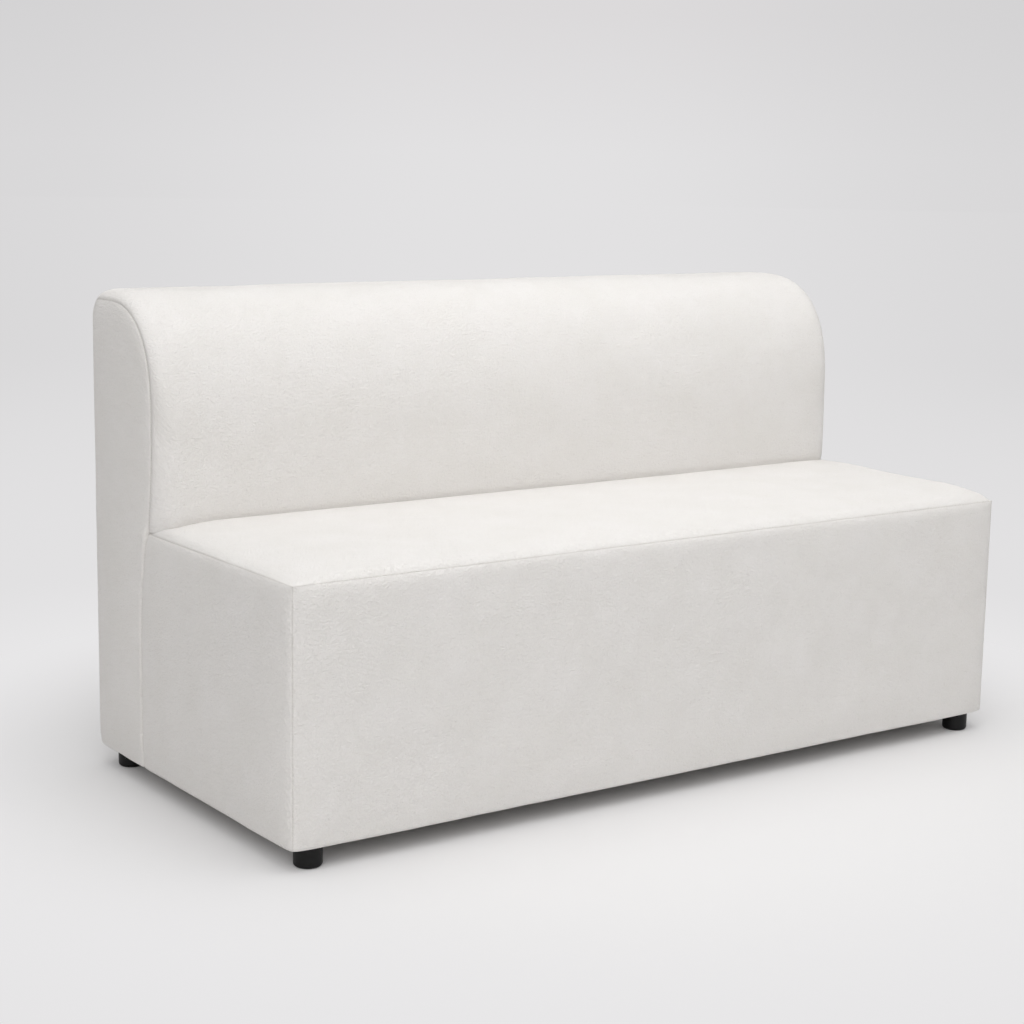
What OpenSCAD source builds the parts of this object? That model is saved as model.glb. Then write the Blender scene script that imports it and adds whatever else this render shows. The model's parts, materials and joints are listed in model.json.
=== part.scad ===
// Armless three-seater sofa: a box seat module in front of a full-height back module.
// Millimetres, X along the length, -Y to the front, +Z up.
// The origin is on the floor, below the middle of the overall box.

/* [Overall sizes] */
// Length between the end seams
seam_length = 1488; // [1200:4:1900]
// Depth between the front seam and the rear seam
seam_depth = 686; // [640:2:760]
// Height of the seam round the top of the seat
seat_seam_h = 438.5; // [425:0.5:470]
// Height of the end seams over the crest of the back
back_seam_h = 811; // [760:1:880]
// Height of the upholstery's underside above the floor
base_h = 34; // [28:1:60]

/* [Seat crown] */
// Rise of the seat's middle above its seams
seat_crown = 19; // [8:1:32]
// Width of the band in which the seat falls to its seams
seat_roll = 130; // [70:5:180]
// Swell of the front panel ahead of its seams
front_swell = 7; // [2:0.5:12]
// Swell of the end panels beyond their seams
end_swell = 6; // [2:0.5:12]
// Width of the band in which a panel's swell fades to its seam
swell_roll = 60; // [30:5:90]

/* [Back form] */
// Thickness of the back module where the seat stands against it
back_base_t = 182; // [170:1:210]
// Thickness of the back at its end seams above the seat
back_end_t = 220; // [212:1:240]
// How far the back's face stands ahead of its end seams
back_face_swell = 29; // [12:1:36]
// Rise of the crest above its end seams
crest_crown = 17; // [6:1:26]
// Width of the roll from the back's face to its end seams
back_end_roll = 35; // [24:1:44]
// Distance of the crest's highest line from the rear seam
crest_setback = 68; // [56:1:90]
// Share of the back's rise above the seat that the rounding takes at the end seams
end_round_share = 0.459; // [0.35:0.001:0.51]
// Share of the back's rise above the seat that the rounding takes along the face
face_round_share = 0.639; // [0.51:0.001:0.69]
// Depth of the rounded corner at the top of the rear
rear_corner = 28; // [16:1:40]
// Swell of the rear panel behind its seams
rear_swell = 7; // [2:0.5:12]

/* [Tuck of the seat against the back] */
// Depth below the seat's seams at which the end seam of the joint starts to lean forward
end_tuck_drop = 198.5; // [160:0.5:240]
// Share of the way from the seat's seams to the rounding at which the end seam is upright again
end_tuck_share = 0.8; // [0.6:0.01:0.9]
// Height above the seat frame at which the back's face starts to press over the seat
face_tuck_clear = 5; // [5:1:20]
// Height above the seat's seams at which the back's face is upright
face_tuck_rise = 11.5; // [1.5:0.5:21.5]

/* [Fabric and padding] */
// Thickness of the cover fabric with its lining
cover_t = 1.6; // [1:0.1:3]
// Width of the hem turned under the frame
hem_w = 20; // [14:1:24]
// Size of the fold at the lower edge
fold_r = 4; // [3:0.5:6]
// Thickness of the wadding over the boards
wadding_t = 8; // [5:0.5:12]
// Thickness of the padding behind the seat on the back's lower face
low_pad_t = 5; // [3:0.5:8]
// Thickness of the foam over the crest at the end seams
crest_foam_t = 22; // [14:1:30]
// Thickness of the dust covers
dust_t = 0.8; // [0.5:0.1:1.5]
// Distance of a dust cover's edge from the seams
dust_inset = 12; // [8:1:16]

/* [Frame timber] */
// Thickness of the seat rails
rail_t = 35; // [32:1:40]
// Height of the lower seat rails
low_rail_h = 70; // [50:1:90]
// Height of the upper seat rails
high_rail_h = 60; // [45:1:75]
// Thickness of the filling from the seat's seams down to the top of its frame
seat_fill_t = 108.5; // [106.5:0.5:138.5]
// Width of the corner posts
post_w = 45; // [35:1:60]
// Depth of the housings that hold the rail ends
housing_depth = 8; // [5:1:12]
// Thickness of the frame boards
board_t = 3; // [2:0.5:5]
// Thickness of the plywood formers
former_t = 18; // [12:1:24]
// Thickness of the back's bottom plank
plank_t = 26; // [24:1:40]
// Thickness of the back rails
back_rail_t = 28; // [22:1:34]
// Width of the back rails
back_rail_w = 60; // [45:1:75]

/* [Webbing] */
// Number of straps from front to rear
cross_straps = 9; // [5:1:11]
// Number of straps along the length
long_straps = 3; // [2:1:4]
// Width of a strap
strap_w = 60; // [40:5:70]
// Thickness of a strap
strap_t = 1.6; // [1:0.1:2.5]

/* [Feet and fixings] */
// Diameter of a foot
foot_d = 45.2; // [36:0.2:56]
// Radius of a foot's lower edge
foot_edge_r = 5.5; // [2:0.5:8]
// Distance of the front feet's centres from the end seams
front_foot_in = 40; // [34:1:60]
// Distance of the front feet's centres from the front seam
front_foot_back = 25.4; // [24:0.2:34]
// Distance of the rear feet's centres from the end seams
rear_foot_in = 35; // [34:1:60]
// Distance of the rear feet's centres from the rear seam
rear_foot_ahead = 50; // [34:1:70]
// Diameter of the hanger bolts that hold the feet
bolt_d = 8; // [6:0.5:10]
// Length of a hanger bolt inside the timber
bolt_in_timber = 22; // [16:1:24]
// Length of a hanger bolt inside a foot
bolt_in_foot = 20; // [12:1:24]
// Thickness of the joining plates
plate_t = 4; // [3:0.5:6]
// Width of a joining plate
plate_w = 40; // [34:1:60]
// Distance from a plate's end to its screws
plate_margin = 15; // [10:1:20]
// Distance between the two screws of a pair
plate_pair = 20; // [14:1:22]
// Diameter of the joining screws
screw_d = 5; // [4:0.5:6]
// Length of a joining screw below its head
screw_l = 26; // [18:1:28]
// Diameter of a joining screw's head
screw_head_d = 10; // [8:0.5:12]
// Height of a joining screw's head
screw_head_h = 3; // [2:0.5:4]

/* [Hidden] */

// Clearances between soft pieces, at the joint of the modules and in the timber joints
soft_gap = 0.3;
foam_gap = 0.9;
joint_gap = 0.3;
timber_gap = 0.2;
bolt_gap = 0.1;
cut_over = 1;
smooth = 64;

// Rows and columns of the padded surfaces, as shares of the bands that they cross
end_roll_shares = [0, 0.1, 0.3, 0.6, 1];
crown_band_shares = [0.4, 1];
front_band_shares = [0, 0.03, 0.1, 0.22, 0.42, 0.7, 1];
seat_rest_shares = [0.5, 1];
low_row_shares = [0, 0.4, 0.72, 1];
tuck_row_shares = [0.23, 0.54, 0.77, 0.96];
high_row_shares = [0.25, 0.5, 0.75, 1];
face_row_shares = [0, 0.06, 0.2, 0.5, 0.8, 0.94, 1];
across_shares = [0, 0.06, 0.22, 0.5, 0.78, 0.94, 1];
arc_steps = 9;
edge_steps = 6;
corner_step = 5;
crown_power = 2.5;
swell_power = 2;
arc_power = 2.4;

// Main planes of the seams and the joint
half_l = seam_length / 2;
half_d = seam_depth / 2;
joint_y = half_d - back_base_t;
end_seam_y = half_d - back_end_t;
face_y = end_seam_y - back_face_swell;
crest_y = half_d - crest_setback;
back_rise = back_seam_h - seat_seam_h;
end_round_h = end_round_share * back_rise;
face_round_h = face_round_share * back_rise;
end_round_z = back_seam_h - end_round_h;
face_round_z = back_seam_h + crest_crown - face_round_h;
seat_deep = half_d + face_y;
fold_z = base_h + fold_r;
frame_top_h = seat_seam_h - seat_fill_t;
end_tuck_low = seat_seam_h - end_tuck_drop;
end_tuck_high = lerp(seat_seam_h, end_round_z, end_tuck_share);
face_tuck_low = frame_top_h + face_tuck_clear;
face_tuck_high = seat_seam_h + face_tuck_rise;

// Planes of the layers under the fabric
skin_in = cover_t + soft_gap;
board_in = skin_in + wadding_t;
frame_in = board_in + board_t;
timber_z = base_h + cover_t;
frame_x = half_l - frame_in;
frame_front_y = frame_in - half_d;
seat_rear_y = joint_y - joint_gap - board_in;
webbing_top = frame_top_h + 2 * strap_t + 2 * timber_gap;
core_top = seat_seam_h - board_in;
dust_z = base_h - dust_t;

// Planes inside the back
back_board_y = joint_y + skin_in + low_pad_t;
former_y = back_board_y + board_t;
back_board_top = back_seam_h - skin_in - crest_foam_t;
former_top = back_board_top - board_t;
rear_board_y = half_d - board_in;
former_rear_y = rear_board_y - board_t;
plank_top = timber_z + plank_t;
plank_x = half_l - board_in + soft_gap;

function lerp(a, b, s) = a + (b - a) * s;
function bound(s) = max(0, min(1, s));
function ease(s) = (1 - cos(180 * bound(s))) / 2;
function rise(d, band, power) = 1 - pow(1 - bound(d / band), power);
function round_rise(d) = sqrt(1 - pow(1 - bound(d / back_end_roll), 2));
function swell(d) = rise(d, swell_roll, swell_power);

// Distances of the columns from the nearer end seam, and their places at a depth under the fabric
half_cols = [for (s = end_roll_shares) s * back_end_roll,
    for (s = crown_band_shares) lerp(back_end_roll, seat_roll, s)];
mid_col = len(half_cols);
cols = [for (d = half_cols) d, half_l, for (i = [mid_col - 1:-1:0]) half_cols[i]];
col_sides = [for (i = [0:len(cols) - 1]) i < mid_col ? -1 : i > mid_col ? 1 : 0];
function col_x(i, deep) = col_sides[i] * (half_l - cols[i]) * (half_l - deep) / half_l;
former_x = (half_l - back_end_roll) * (half_l - skin_in) / half_l;

// Rows from the front seam of the seat to the back
seat_rows = [for (s = front_band_shares) s * seat_roll,
    for (s = seat_rest_shares) lerp(seat_roll, seat_deep, s)];

// The joint's curve at the end seams and along the face
function end_curve(z) = lerp(joint_y, end_seam_y, ease((z - end_tuck_low) / (end_tuck_high - end_tuck_low)));
function face_curve(z) = lerp(joint_y, face_y, ease((z - face_tuck_low) / (face_tuck_high - face_tuck_low)));
function joint_curve(i, z) = lerp(end_curve(z), face_curve(z), round_rise(cols[i]));
function crown_z(i) = seat_seam_h + seat_crown * rise(cols[i], seat_roll, crown_power);
low_steps = len(low_row_shares) + len(tuck_row_shares);
function low_z(k, low) = k < len(low_row_shares) ? lerp(low, face_tuck_low, low_row_shares[k])
    : lerp(face_tuck_low, seat_seam_h, tuck_row_shares[k - len(low_row_shares)]);

// Points of the rounding: at the end seam and along the face
function arc_y(k, radius) = crest_y - radius * pow(cos(90 * k / arc_steps), 2 / arc_power);
function arc_z(k, start, radius) = start + radius * pow(sin(90 * k / arc_steps), 2 / arc_power);
function end_arc(k, deep) =
    [arc_y(k, crest_y - end_seam_y - deep), arc_z(k, end_round_z, end_round_h - deep)];
function face_arc(k, deep) =
    [arc_y(k, crest_y - face_y - deep), arc_z(k, face_round_z, face_round_h - deep)];
function corner_part(k, deep) =
    (end_arc(k, deep)[1] - end_arc(corner_step, deep)[1])
    / (end_arc(arc_steps, deep)[1] - end_arc(corner_step, deep)[1]);
function corner_y(k, deep) =
    half_d - rear_corner + (rear_corner - deep) * sqrt(max(0, 1 - pow(corner_part(k, deep), 2)));
function corner_z(k, deep, crown) = end_arc(k, deep)[1] + crown * corner_part(k, deep);
rear_seam_z = end_arc(corner_step, 0)[1];

// One column of the wrapped face of the back, from its lower fold to the seam at the top of the rear
function low_column(i, deep, low) =
    [for (k = [0:low_steps - 1]) [joint_curve(i, low_z(k, low)) + deep, low_z(k, low)],
    [joint_curve(i, crown_z(i)) + deep, crown_z(i)]];
function blend_point(i, a, b) =
    let (s = round_rise(cols[i]))
    [lerp(a[0], b[0], s), lerp(a[1], b[1], s)];
function high_column(i, deep) =
    [for (s = high_row_shares)
        let (z = lerp(seat_seam_h, end_round_z, s))
        blend_point(i, [end_curve(z) + deep, z], [face_y + deep, lerp(crown_z(i), face_round_z, s)]),
    for (k = [1:arc_steps]) blend_point(i, end_arc(k, deep), face_arc(k, deep))];
function corner_column(i, deep) =
    [for (k = [arc_steps:-1:corner_step])
        [corner_y(k, deep), corner_z(k, deep, crest_crown * round_rise(cols[i]))]];
function face_column(i, deep, low) =
    concat(low_column(i, deep, low), high_column(i, deep), corner_column(i, deep));
low_count = low_steps + 1;
high_count = len(high_row_shares) + arc_steps;

// Surfaces as rows of points, at a depth under the fabric's outside
function hem_rows(y, side, deep, inset_list) =
    [for (inset = inset_list)
        [for (i = [0:len(cols) - 1]) [col_x(i, inset), y + side * inset, base_h + deep]]];
function turn(columns) = [for (r = [0:len(columns[0]) - 1]) [for (c = columns) c[r]]];

function seat_top(deep) =
    [for (f = seat_rows) [for (i = [0:len(cols) - 1])
        let (z = crown_z(i) - deep)
        let (rear = joint_curve(i, crown_z(i)) - joint_gap - deep)
        [col_x(i, deep), lerp(deep - half_d, rear, f / seat_deep),
            seat_seam_h - deep + (z - seat_seam_h + deep) * rise(f, seat_roll, crown_power)]]];

function seat_front(deep, low) =
    [for (s = face_row_shares)
        let (z = lerp(low, seat_seam_h - deep, s))
        [for (i = [0:len(cols) - 1])
            [col_x(i, deep), deep - half_d - front_swell * swell(cols[i])
                * swell(s * (seat_seam_h - low)) * swell((1 - s) * (seat_seam_h - low)), z]]];

function seat_rear(deep) = turn([for (i = [0:len(cols) - 1])
    [for (k = [0:low_steps - 1])
        [col_x(i, deep), joint_curve(i, low_z(k, fold_z)) - joint_gap - deep, low_z(k, fold_z)],
    [col_x(i, deep), joint_curve(i, crown_z(i)) - joint_gap - deep, crown_z(i) - deep]]]);

function seat_end_y(s, z, deep) = lerp(deep - half_d, end_curve(z) - joint_gap - deep, s);
function seat_end(deep, low) =
    [for (k = [0:low_steps])
        let (z0 = k < low_steps ? low_z(k, low) : seat_seam_h)
        let (z = k < low_steps ? z0 : seat_seam_h - deep)
        let (wide = half_d + end_curve(z0))
        [for (s = across_shares)
            [half_l - deep + end_swell * swell(s * wide) * swell((1 - s) * wide)
                * swell(z0 - low) * swell(seat_seam_h - z0), seat_end_y(s, z0, deep), z]]];
function seat_end_hem(deep) =
    [for (inset = [hem_w, fold_r]) [for (s = across_shares)
        [half_l - inset, lerp(inset - half_d, joint_y - joint_gap - inset, s), base_h + deep]]];

function back_face(deep, low) = turn([for (i = [0:len(cols) - 1])
    [for (p = face_column(i, deep, low)) [col_x(i, deep), p[0], p[1]]]]);

function end_rows(deep, low) =
    let (front = concat(low_column(0, deep, low), high_column(0, deep)))
    [for (r = [0:len(front) - 1])
        let (k = r - low_count - len(high_row_shares) + 1)
        [front[r][0], k >= corner_step ? corner_y(k, deep) : half_d - deep, front[r][1]]];
function back_end(deep, low) =
    [for (row = end_rows(deep, low))
        let (wide = row[1] - row[0])
        let (rise_z = swell(row[2] - low) * swell(back_seam_h - deep - row[2]))
        [for (s = across_shares)
            [half_l - deep + end_swell * swell(s * wide) * swell((1 - s) * wide) * rise_z,
                lerp(row[0], row[1], s), row[2]]]];
function back_end_hem(deep) =
    [for (inset = [hem_w, fold_r]) [for (s = across_shares)
        [half_l - inset, lerp(joint_y + inset, half_d - inset, s), base_h + deep]]];

function back_rear(deep, low, x_in) =
    let (top = end_arc(corner_step, deep)[1])
    [for (s = face_row_shares) [for (i = [0:len(cols) - 1])
        [col_x(i, deep) * x_in, half_d - deep + rear_swell * swell(cols[i])
            * swell(s * (rear_seam_z - low)) * swell((1 - s) * (rear_seam_z - low)), lerp(low, top, s)]]];

// Faces of a closed skin between two surfaces, and of a block below one surface
function flat_list(rows) = [for (row = rows) each row];
function grid_faces(m, n, start, back) =
    [for (r = [0:m - 2]) for (c = [0:n - 2])
        let (a = start + r * n + c)
        let (b = a + 1)
        let (d = a + n)
        let (e = d + 1)
        each (back ? [[a, b, e], [a, e, d]] : [[a, e, b], [a, d, e]])];
function rim_index(m, n, start) = [for (c = [0:n - 2]) start + c,
    for (r = [0:m - 2]) start + r * n + n - 1,
    for (c = [n - 1:-1:1]) start + (m - 1) * n + c,
    for (r = [m - 1:-1:1]) start + r * n];
function rim_faces(p, q, back) =
    [for (k = [0:len(p) - 1])
        let (j = (k + 1) % len(p))
        each (back ? [[p[j], p[k], q[k]], [p[j], q[k], q[j]]] : [[p[k], p[j], q[k]], [p[j], q[j], q[k]]])];
function cap_faces(p, heart, back) =
    [for (k = [0:len(p) - 1])
        let (j = (k + 1) % len(p))
        back ? [p[j], p[k], heart] : [p[k], p[j], heart]];
function turned(list) = [for (k = [len(list) - 1:-1:0]) list[k]];
function rim_points(rows) =
    let (all = flat_list(rows))
    [for (k = rim_index(len(rows), len(rows[0]), 0)) all[k]];

module skin(outer, inner, back = false) {
    m = len(outer);
    n = len(outer[0]);
    polyhedron(
        points = concat(flat_list(outer), flat_list(inner)),
        faces = concat(grid_faces(m, n, 0, back), grid_faces(m, n, m * n, !back),
            rim_faces(rim_index(m, n, 0), rim_index(m, n, m * n), back)));
}

module block(outer, loops, back = false) {
    m = len(outer);
    n = len(outer[0]);
    ring = len(loops[0]);
    first = m * n;
    last = loops[len(loops) - 1];
    middle = [for (c = [0:2]) let (all = [for (p = last) p[c]]) (max(all) + min(all)) / 2];
    heart = first + len(loops) * ring;
    function loop_index(l) = [for (k = [0:ring - 1]) first + l * ring + k];
    polyhedron(
        points = concat(flat_list(outer), flat_list(loops), [middle]),
        faces = concat(grid_faces(m, n, 0, back),
            rim_faces(rim_index(m, n, 0), loop_index(0), back),
            [for (l = [1:1:len(loops) - 1]) each rim_faces(loop_index(l - 1), loop_index(l), back)],
            cap_faces(loop_index(len(loops) - 1), heart, back)));
}

// A box between two corners
module bar(low, high) {
    translate(low)
        cube(high - low);
}

// A profile in the Y-Z plane, extruded along X from one place to another
module along_x(profile, from, to) {
    translate([from, 0, 0])
        rotate([90, 0, 90])
            linear_extrude(to - from)
                polygon(profile);
}

module upright_hole(x, y, d, low, high) {
    translate([x, y, low])
        cylinder(d = d, h = high - low, $fn = smooth);
}

// Places of the feet, the bolts and the joining screws
foot_h = dust_z;
front_foot_x = half_l - front_foot_in;
front_foot_y = front_foot_back - half_d;
rear_foot_x = half_l - rear_foot_in;
rear_foot_y = half_d - rear_foot_ahead;
foot_places = [[-front_foot_x, front_foot_y], [front_foot_x, front_foot_y],
    [-rear_foot_x, rear_foot_y], [rear_foot_x, rear_foot_y]];
bolt_low = foot_h - bolt_in_foot;
bolt_high = timber_z + bolt_in_timber;
seat_screw_y = seat_rear_y - rail_t / 2;
back_screw_y = joint_y + (joint_y - seat_screw_y);
plate_place_shares = [-0.82, -0.3, 0.3, 0.82];
plate_xs = [for (s = plate_place_shares) s * half_l];
screw_xs = [for (x = plate_xs) for (side = [-1, 1]) x + side * plate_pair / 2];
plate_top = dust_z;
plate_low = plate_top - plate_t;
screw_high = plate_low + screw_l;

module foot_holes(low, high, places) {
    for (p = places)
        upright_hole(p[0], p[1], bolt_d + 2 * bolt_gap, low, high);
}

module screw_holes(y, low, high) {
    for (x = screw_xs)
        upright_hole(x, y, screw_d + 2 * bolt_gap, low, high);
}

// Seat frame
rail_in = frame_x - rail_t;
front_in_y = frame_front_y + rail_t;
rear_in_y = seat_rear_y - rail_t;
low_rail_top = timber_z + low_rail_h;
high_rail_low = frame_top_h - high_rail_h;
stretcher_h = low_rail_h / 2;

module end_rail_box(side, low, high, gap) {
    x0 = side > 0 ? rail_in : -frame_x;
    bar([x0 - gap, front_in_y - housing_depth - gap, low - gap],
        [x0 + rail_t + gap, rear_in_y + housing_depth + gap, high + gap]);
}

module stretcher_box(gap) {
    bar([-rail_t / 2 - gap, front_in_y - housing_depth - gap, timber_z - gap],
        [rail_t / 2 + gap, rear_in_y + housing_depth + gap, timber_z + stretcher_h + gap]);
}

module long_rail(y0, low, high) {
    difference() {
        bar([-frame_x, y0, low], [frame_x, y0 + rail_t, high]);
        end_rail_box(-1, low, high, timber_gap);
        end_rail_box(1, low, high, timber_gap);
    }
}

module seat_rail_front_low() {
    color("burlywood")
        difference() {
            long_rail(frame_front_y, timber_z, low_rail_top);
            stretcher_box(timber_gap);
            foot_holes(timber_z - cut_over, bolt_high, [foot_places[0], foot_places[1]]);
        }
}

module seat_rail_front_high() {
    color("burlywood")
        long_rail(frame_front_y, high_rail_low, frame_top_h);
}

module seat_rail_rear_low() {
    color("burlywood")
        difference() {
            long_rail(rear_in_y, timber_z, low_rail_top);
            stretcher_box(timber_gap);
            screw_holes(seat_screw_y, timber_z - cut_over, screw_high);
        }
}

module seat_rail_rear_high() {
    color("burlywood")
        long_rail(rear_in_y, high_rail_low, frame_top_h);
}

module seat_rail_left_low() {
    color("burlywood")
        end_rail_box(-1, timber_z, low_rail_top, 0);
}

module seat_rail_left_high() {
    color("burlywood")
        end_rail_box(-1, high_rail_low, frame_top_h, 0);
}

module seat_rail_right_low() {
    color("burlywood")
        end_rail_box(1, timber_z, low_rail_top, 0);
}

module seat_rail_right_high() {
    color("burlywood")
        end_rail_box(1, high_rail_low, frame_top_h, 0);
}

module post(x0, y0) {
    color("burlywood")
        bar([x0, y0, timber_z], [x0 + post_w, y0 + post_w, frame_top_h]);
}

module seat_post_front_left() {
    post(-rail_in, front_in_y);
}

module seat_post_front_right() {
    post(rail_in - post_w, front_in_y);
}

module seat_post_rear_left() {
    post(-rail_in, rear_in_y - post_w);
}

module seat_post_rear_right() {
    post(rail_in - post_w, rear_in_y - post_w);
}

// The middle posts stand on the stretcher
module mid_post(y0) {
    color("burlywood")
        bar([-post_w / 2, y0, timber_z + stretcher_h], [post_w / 2, y0 + post_w, frame_top_h]);
}

module seat_post_front_mid() {
    mid_post(front_in_y);
}

module seat_post_rear_mid() {
    mid_post(rear_in_y - post_w);
}

module seat_stretcher_mid() {
    color("burlywood")
        stretcher_box(0);
}

module seat_board_front() {
    color("peru")
        bar([board_in - half_l, board_in - half_d, timber_z],
            [half_l - board_in, frame_front_y, frame_top_h]);
}

module seat_board_end(side) {
    x0 = side > 0 ? frame_x : -half_l + board_in;
    color("peru")
        bar([x0, frame_front_y, timber_z], [x0 + board_t, seat_rear_y, frame_top_h]);
}

module seat_board_left() {
    seat_board_end(-1);
}

module seat_board_right() {
    seat_board_end(1);
}

// Interlaced webbing on the upper rails
strap_margin = rail_t / 5;
strap_hold = strap_w / 8;
cross_pitch = 2 * rail_in / (cross_straps + 1);
long_pitch = (rear_in_y - front_in_y) / (long_straps + 1);
cross_xs = [for (k = [1:cross_straps]) -rail_in + k * cross_pitch];
long_ys = [for (k = [1:long_straps]) front_in_y + k * long_pitch];
strap_level = strap_t + timber_gap;

function strap_line(places, from, to, odd) = [[from, 0],
    for (k = [0:len(places) - 1]) for (side = [-1, 1])
        [places[k] + side * (strap_w / 2 + strap_hold), (k + odd) % 2 == 0 ? strap_level : 0],
    [to, 0]];
function strap_profile(line) =
    concat([for (p = line) [p[0], frame_top_h + p[1]]],
        [for (p = turned(line)) [p[0], frame_top_h + p[1] + strap_t]]);

module seat_webbing_cross() {
    color("dimgray")
        for (k = [0:cross_straps - 1])
            along_x(strap_profile(strap_line(long_ys, frame_front_y + strap_margin,
                seat_rear_y - strap_margin, k)), cross_xs[k] - strap_w / 2, cross_xs[k] + strap_w / 2);
}

module seat_webbing_long() {
    color("dimgray")
        for (k = [0:long_straps - 1])
            translate([0, long_ys[k] + strap_w / 2, 0])
                rotate([90, 0, 0])
                    linear_extrude(strap_w)
                        polygon(strap_profile(strap_line(cross_xs, strap_margin - frame_x,
                            frame_x - strap_margin, k + 1)));
}

// Seat padding
core_rear_zs = [webbing_top, for (k = [0:low_steps - 1]) let (z = low_z(k, fold_z))
    if (z > webbing_top && z < core_top) z, core_top];

module seat_foam_core() {
    color("khaki")
        along_x(concat([[board_in - half_d, core_top], [board_in - half_d, webbing_top]],
            [for (z = core_rear_zs) [face_curve(z) - joint_gap - cover_t - foam_gap, z]]),
            board_in - half_l, half_l - board_in);
}

module seat_wadding_top() {
    lining_z = low_z(low_steps - 1, fold_z);
    low = [for (f = seat_rows) [for (i = [0:len(cols) - 1])
        [col_x(i, board_in), lerp(board_in - half_d,
            joint_curve(i, lining_z) - joint_gap - skin_in, f / seat_deep), core_top]]];
    color("whitesmoke")
        block(seat_top(skin_in), [rim_points(low)]);
}

module seat_wadding_front() {
    low = [for (s = face_row_shares) [for (i = [0:len(cols) - 1])
        [col_x(i, board_in), board_in - half_d, lerp(timber_z, core_top, s)]]];
    color("whitesmoke")
        block(seat_front(skin_in, timber_z), [rim_points(low)]);
}

module seat_wadding_end() {
    outer = seat_end(skin_in, timber_z);
    low = [for (k = [0:low_steps])
        let (z0 = k < low_steps ? low_z(k, timber_z) : seat_seam_h)
        let (z = min(z0, core_top))
        [for (s = across_shares)
            [half_l - board_in, lerp(board_in - half_d, end_curve(z) - joint_gap - skin_in, s),
                lerp(timber_z, core_top, (z0 - timber_z) / (seat_seam_h - timber_z))]]];
    color("whitesmoke")
        block(outer, [rim_points(low)]);
}

module seat_wadding_right() {
    seat_wadding_end();
}

module seat_wadding_left() {
    mirror([1, 0, 0])
        seat_wadding_end();
}

module seat_wadding_rear() {
    color("whitesmoke")
        bar([-frame_x, seat_rear_y, timber_z], [frame_x, joint_y - joint_gap - skin_in, frame_top_h]);
}

// Seat cover panels
module seat_cover_top() {
    color("linen")
        skin(seat_top(0), seat_top(cover_t));
}

module seat_cover_front() {
    insets = [hem_w, fold_r];
    color("linen")
        skin(concat(hem_rows(-half_d, 1, 0, insets), seat_front(0, fold_z)),
            concat(hem_rows(-half_d, 1, cover_t, insets), seat_front(cover_t, fold_z)));
}

module seat_cover_end() {
    color("linen")
        skin(concat(seat_end_hem(0), seat_end(0, fold_z)),
            concat(seat_end_hem(cover_t), seat_end(cover_t, fold_z)));
}

module seat_cover_right() {
    seat_cover_end();
}

module seat_cover_left() {
    mirror([1, 0, 0])
        seat_cover_end();
}

module seat_cover_rear() {
    insets = [hem_w, fold_r];
    color("gainsboro")
        skin(concat(hem_rows(joint_y - joint_gap, -1, 0, insets), seat_rear(0)),
            concat(hem_rows(joint_y - joint_gap, -1, cover_t, insets), seat_rear(cover_t)), true);
}

module seat_dust_cover() {
    color("dimgray")
        difference() {
            bar([dust_inset - half_l, dust_inset - half_d, dust_z],
                [half_l - dust_inset, joint_y - joint_gap - dust_inset, base_h]);
            foot_holes(dust_z - cut_over, base_h + cut_over, [foot_places[0], foot_places[1]]);
            screw_holes(seat_screw_y, dust_z - cut_over, base_h + cut_over);
        }
}

// Feet: moulded cylinders with a rounded lower edge and a blind bore for the hanger bolt
module foot(place) {
    foot_r = foot_d / 2;
    bore_r = bolt_d / 2 + bolt_gap;
    bore_low = bolt_low - bolt_gap;
    edge = [for (k = [0:edge_steps])
        let (turn_by = 90 * k / edge_steps)
        [foot_r - foot_edge_r + foot_edge_r * sin(turn_by), foot_edge_r - foot_edge_r * cos(turn_by)]];
    color("black")
        translate([place[0], place[1], 0])
            rotate_extrude($fn = smooth)
                polygon(concat([[0, 0]], edge, [[foot_r, foot_h], [bore_r, foot_h],
                    [bore_r, bore_low], [0, bore_low]]));
}

module foot_front_left() {
    foot(foot_places[0]);
}

module foot_front_right() {
    foot(foot_places[1]);
}

module foot_rear_left() {
    foot(foot_places[2]);
}

module foot_rear_right() {
    foot(foot_places[3]);
}

module foot_bolts() {
    color("silver")
        for (p = foot_places)
            upright_hole(p[0], p[1], bolt_d, bolt_low, bolt_high);
}

// Back frame
module back_plank() {
    color("burlywood")
        difference() {
            bar([-plank_x, former_y, timber_z], [plank_x, former_rear_y, plank_top]);
            foot_holes(timber_z - cut_over, bolt_high, [foot_places[2], foot_places[3]]);
            screw_holes(back_screw_y, timber_z - cut_over, screw_high);
        }
}

function rigid_arc(y, top) =
    [for (k = [0:arc_steps]) [arc_y(k, crest_y - y), arc_z(k, end_round_z, top - end_round_z)]];

// Places of the back rails: low corner and size in the Y-Z plane
face_mid_z = seat_seam_h - back_rail_w / 2;
face_high_z = end_round_z - back_rail_w;
rear_rail_z = face_mid_z;
rail_rects = [
    [former_y, face_mid_z, back_rail_t, back_rail_w],
    [former_y, face_high_z, back_rail_t, back_rail_w],
    [crest_y, former_top - back_rail_w, back_rail_t, back_rail_w],
    [former_rear_y - back_rail_t, rear_rail_z, back_rail_t, back_rail_w]];

module rail_rect(r, gap) {
    translate([r[0] - gap, r[1] - gap])
        square([r[2] + 2 * gap, r[3] + 2 * gap]);
}

module former(x0) {
    color("tan")
        translate([x0, 0, 0])
            rotate([90, 0, 90])
                linear_extrude(former_t)
                    difference() {
                        polygon(concat([[former_rear_y, plank_top], [former_y, plank_top]],
                            rigid_arc(former_y, former_top), [[former_rear_y, former_top]]));
                        for (r = rail_rects)
                            rail_rect(r, timber_gap);
                    }
}

module back_former_left() {
    former(-former_x);
}

module back_former_right() {
    former(former_x - former_t);
}

module back_rib_left() {
    former(-former_x / 3 - former_t / 2);
}

module back_rib_right() {
    former(former_x / 3 - former_t / 2);
}

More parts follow.
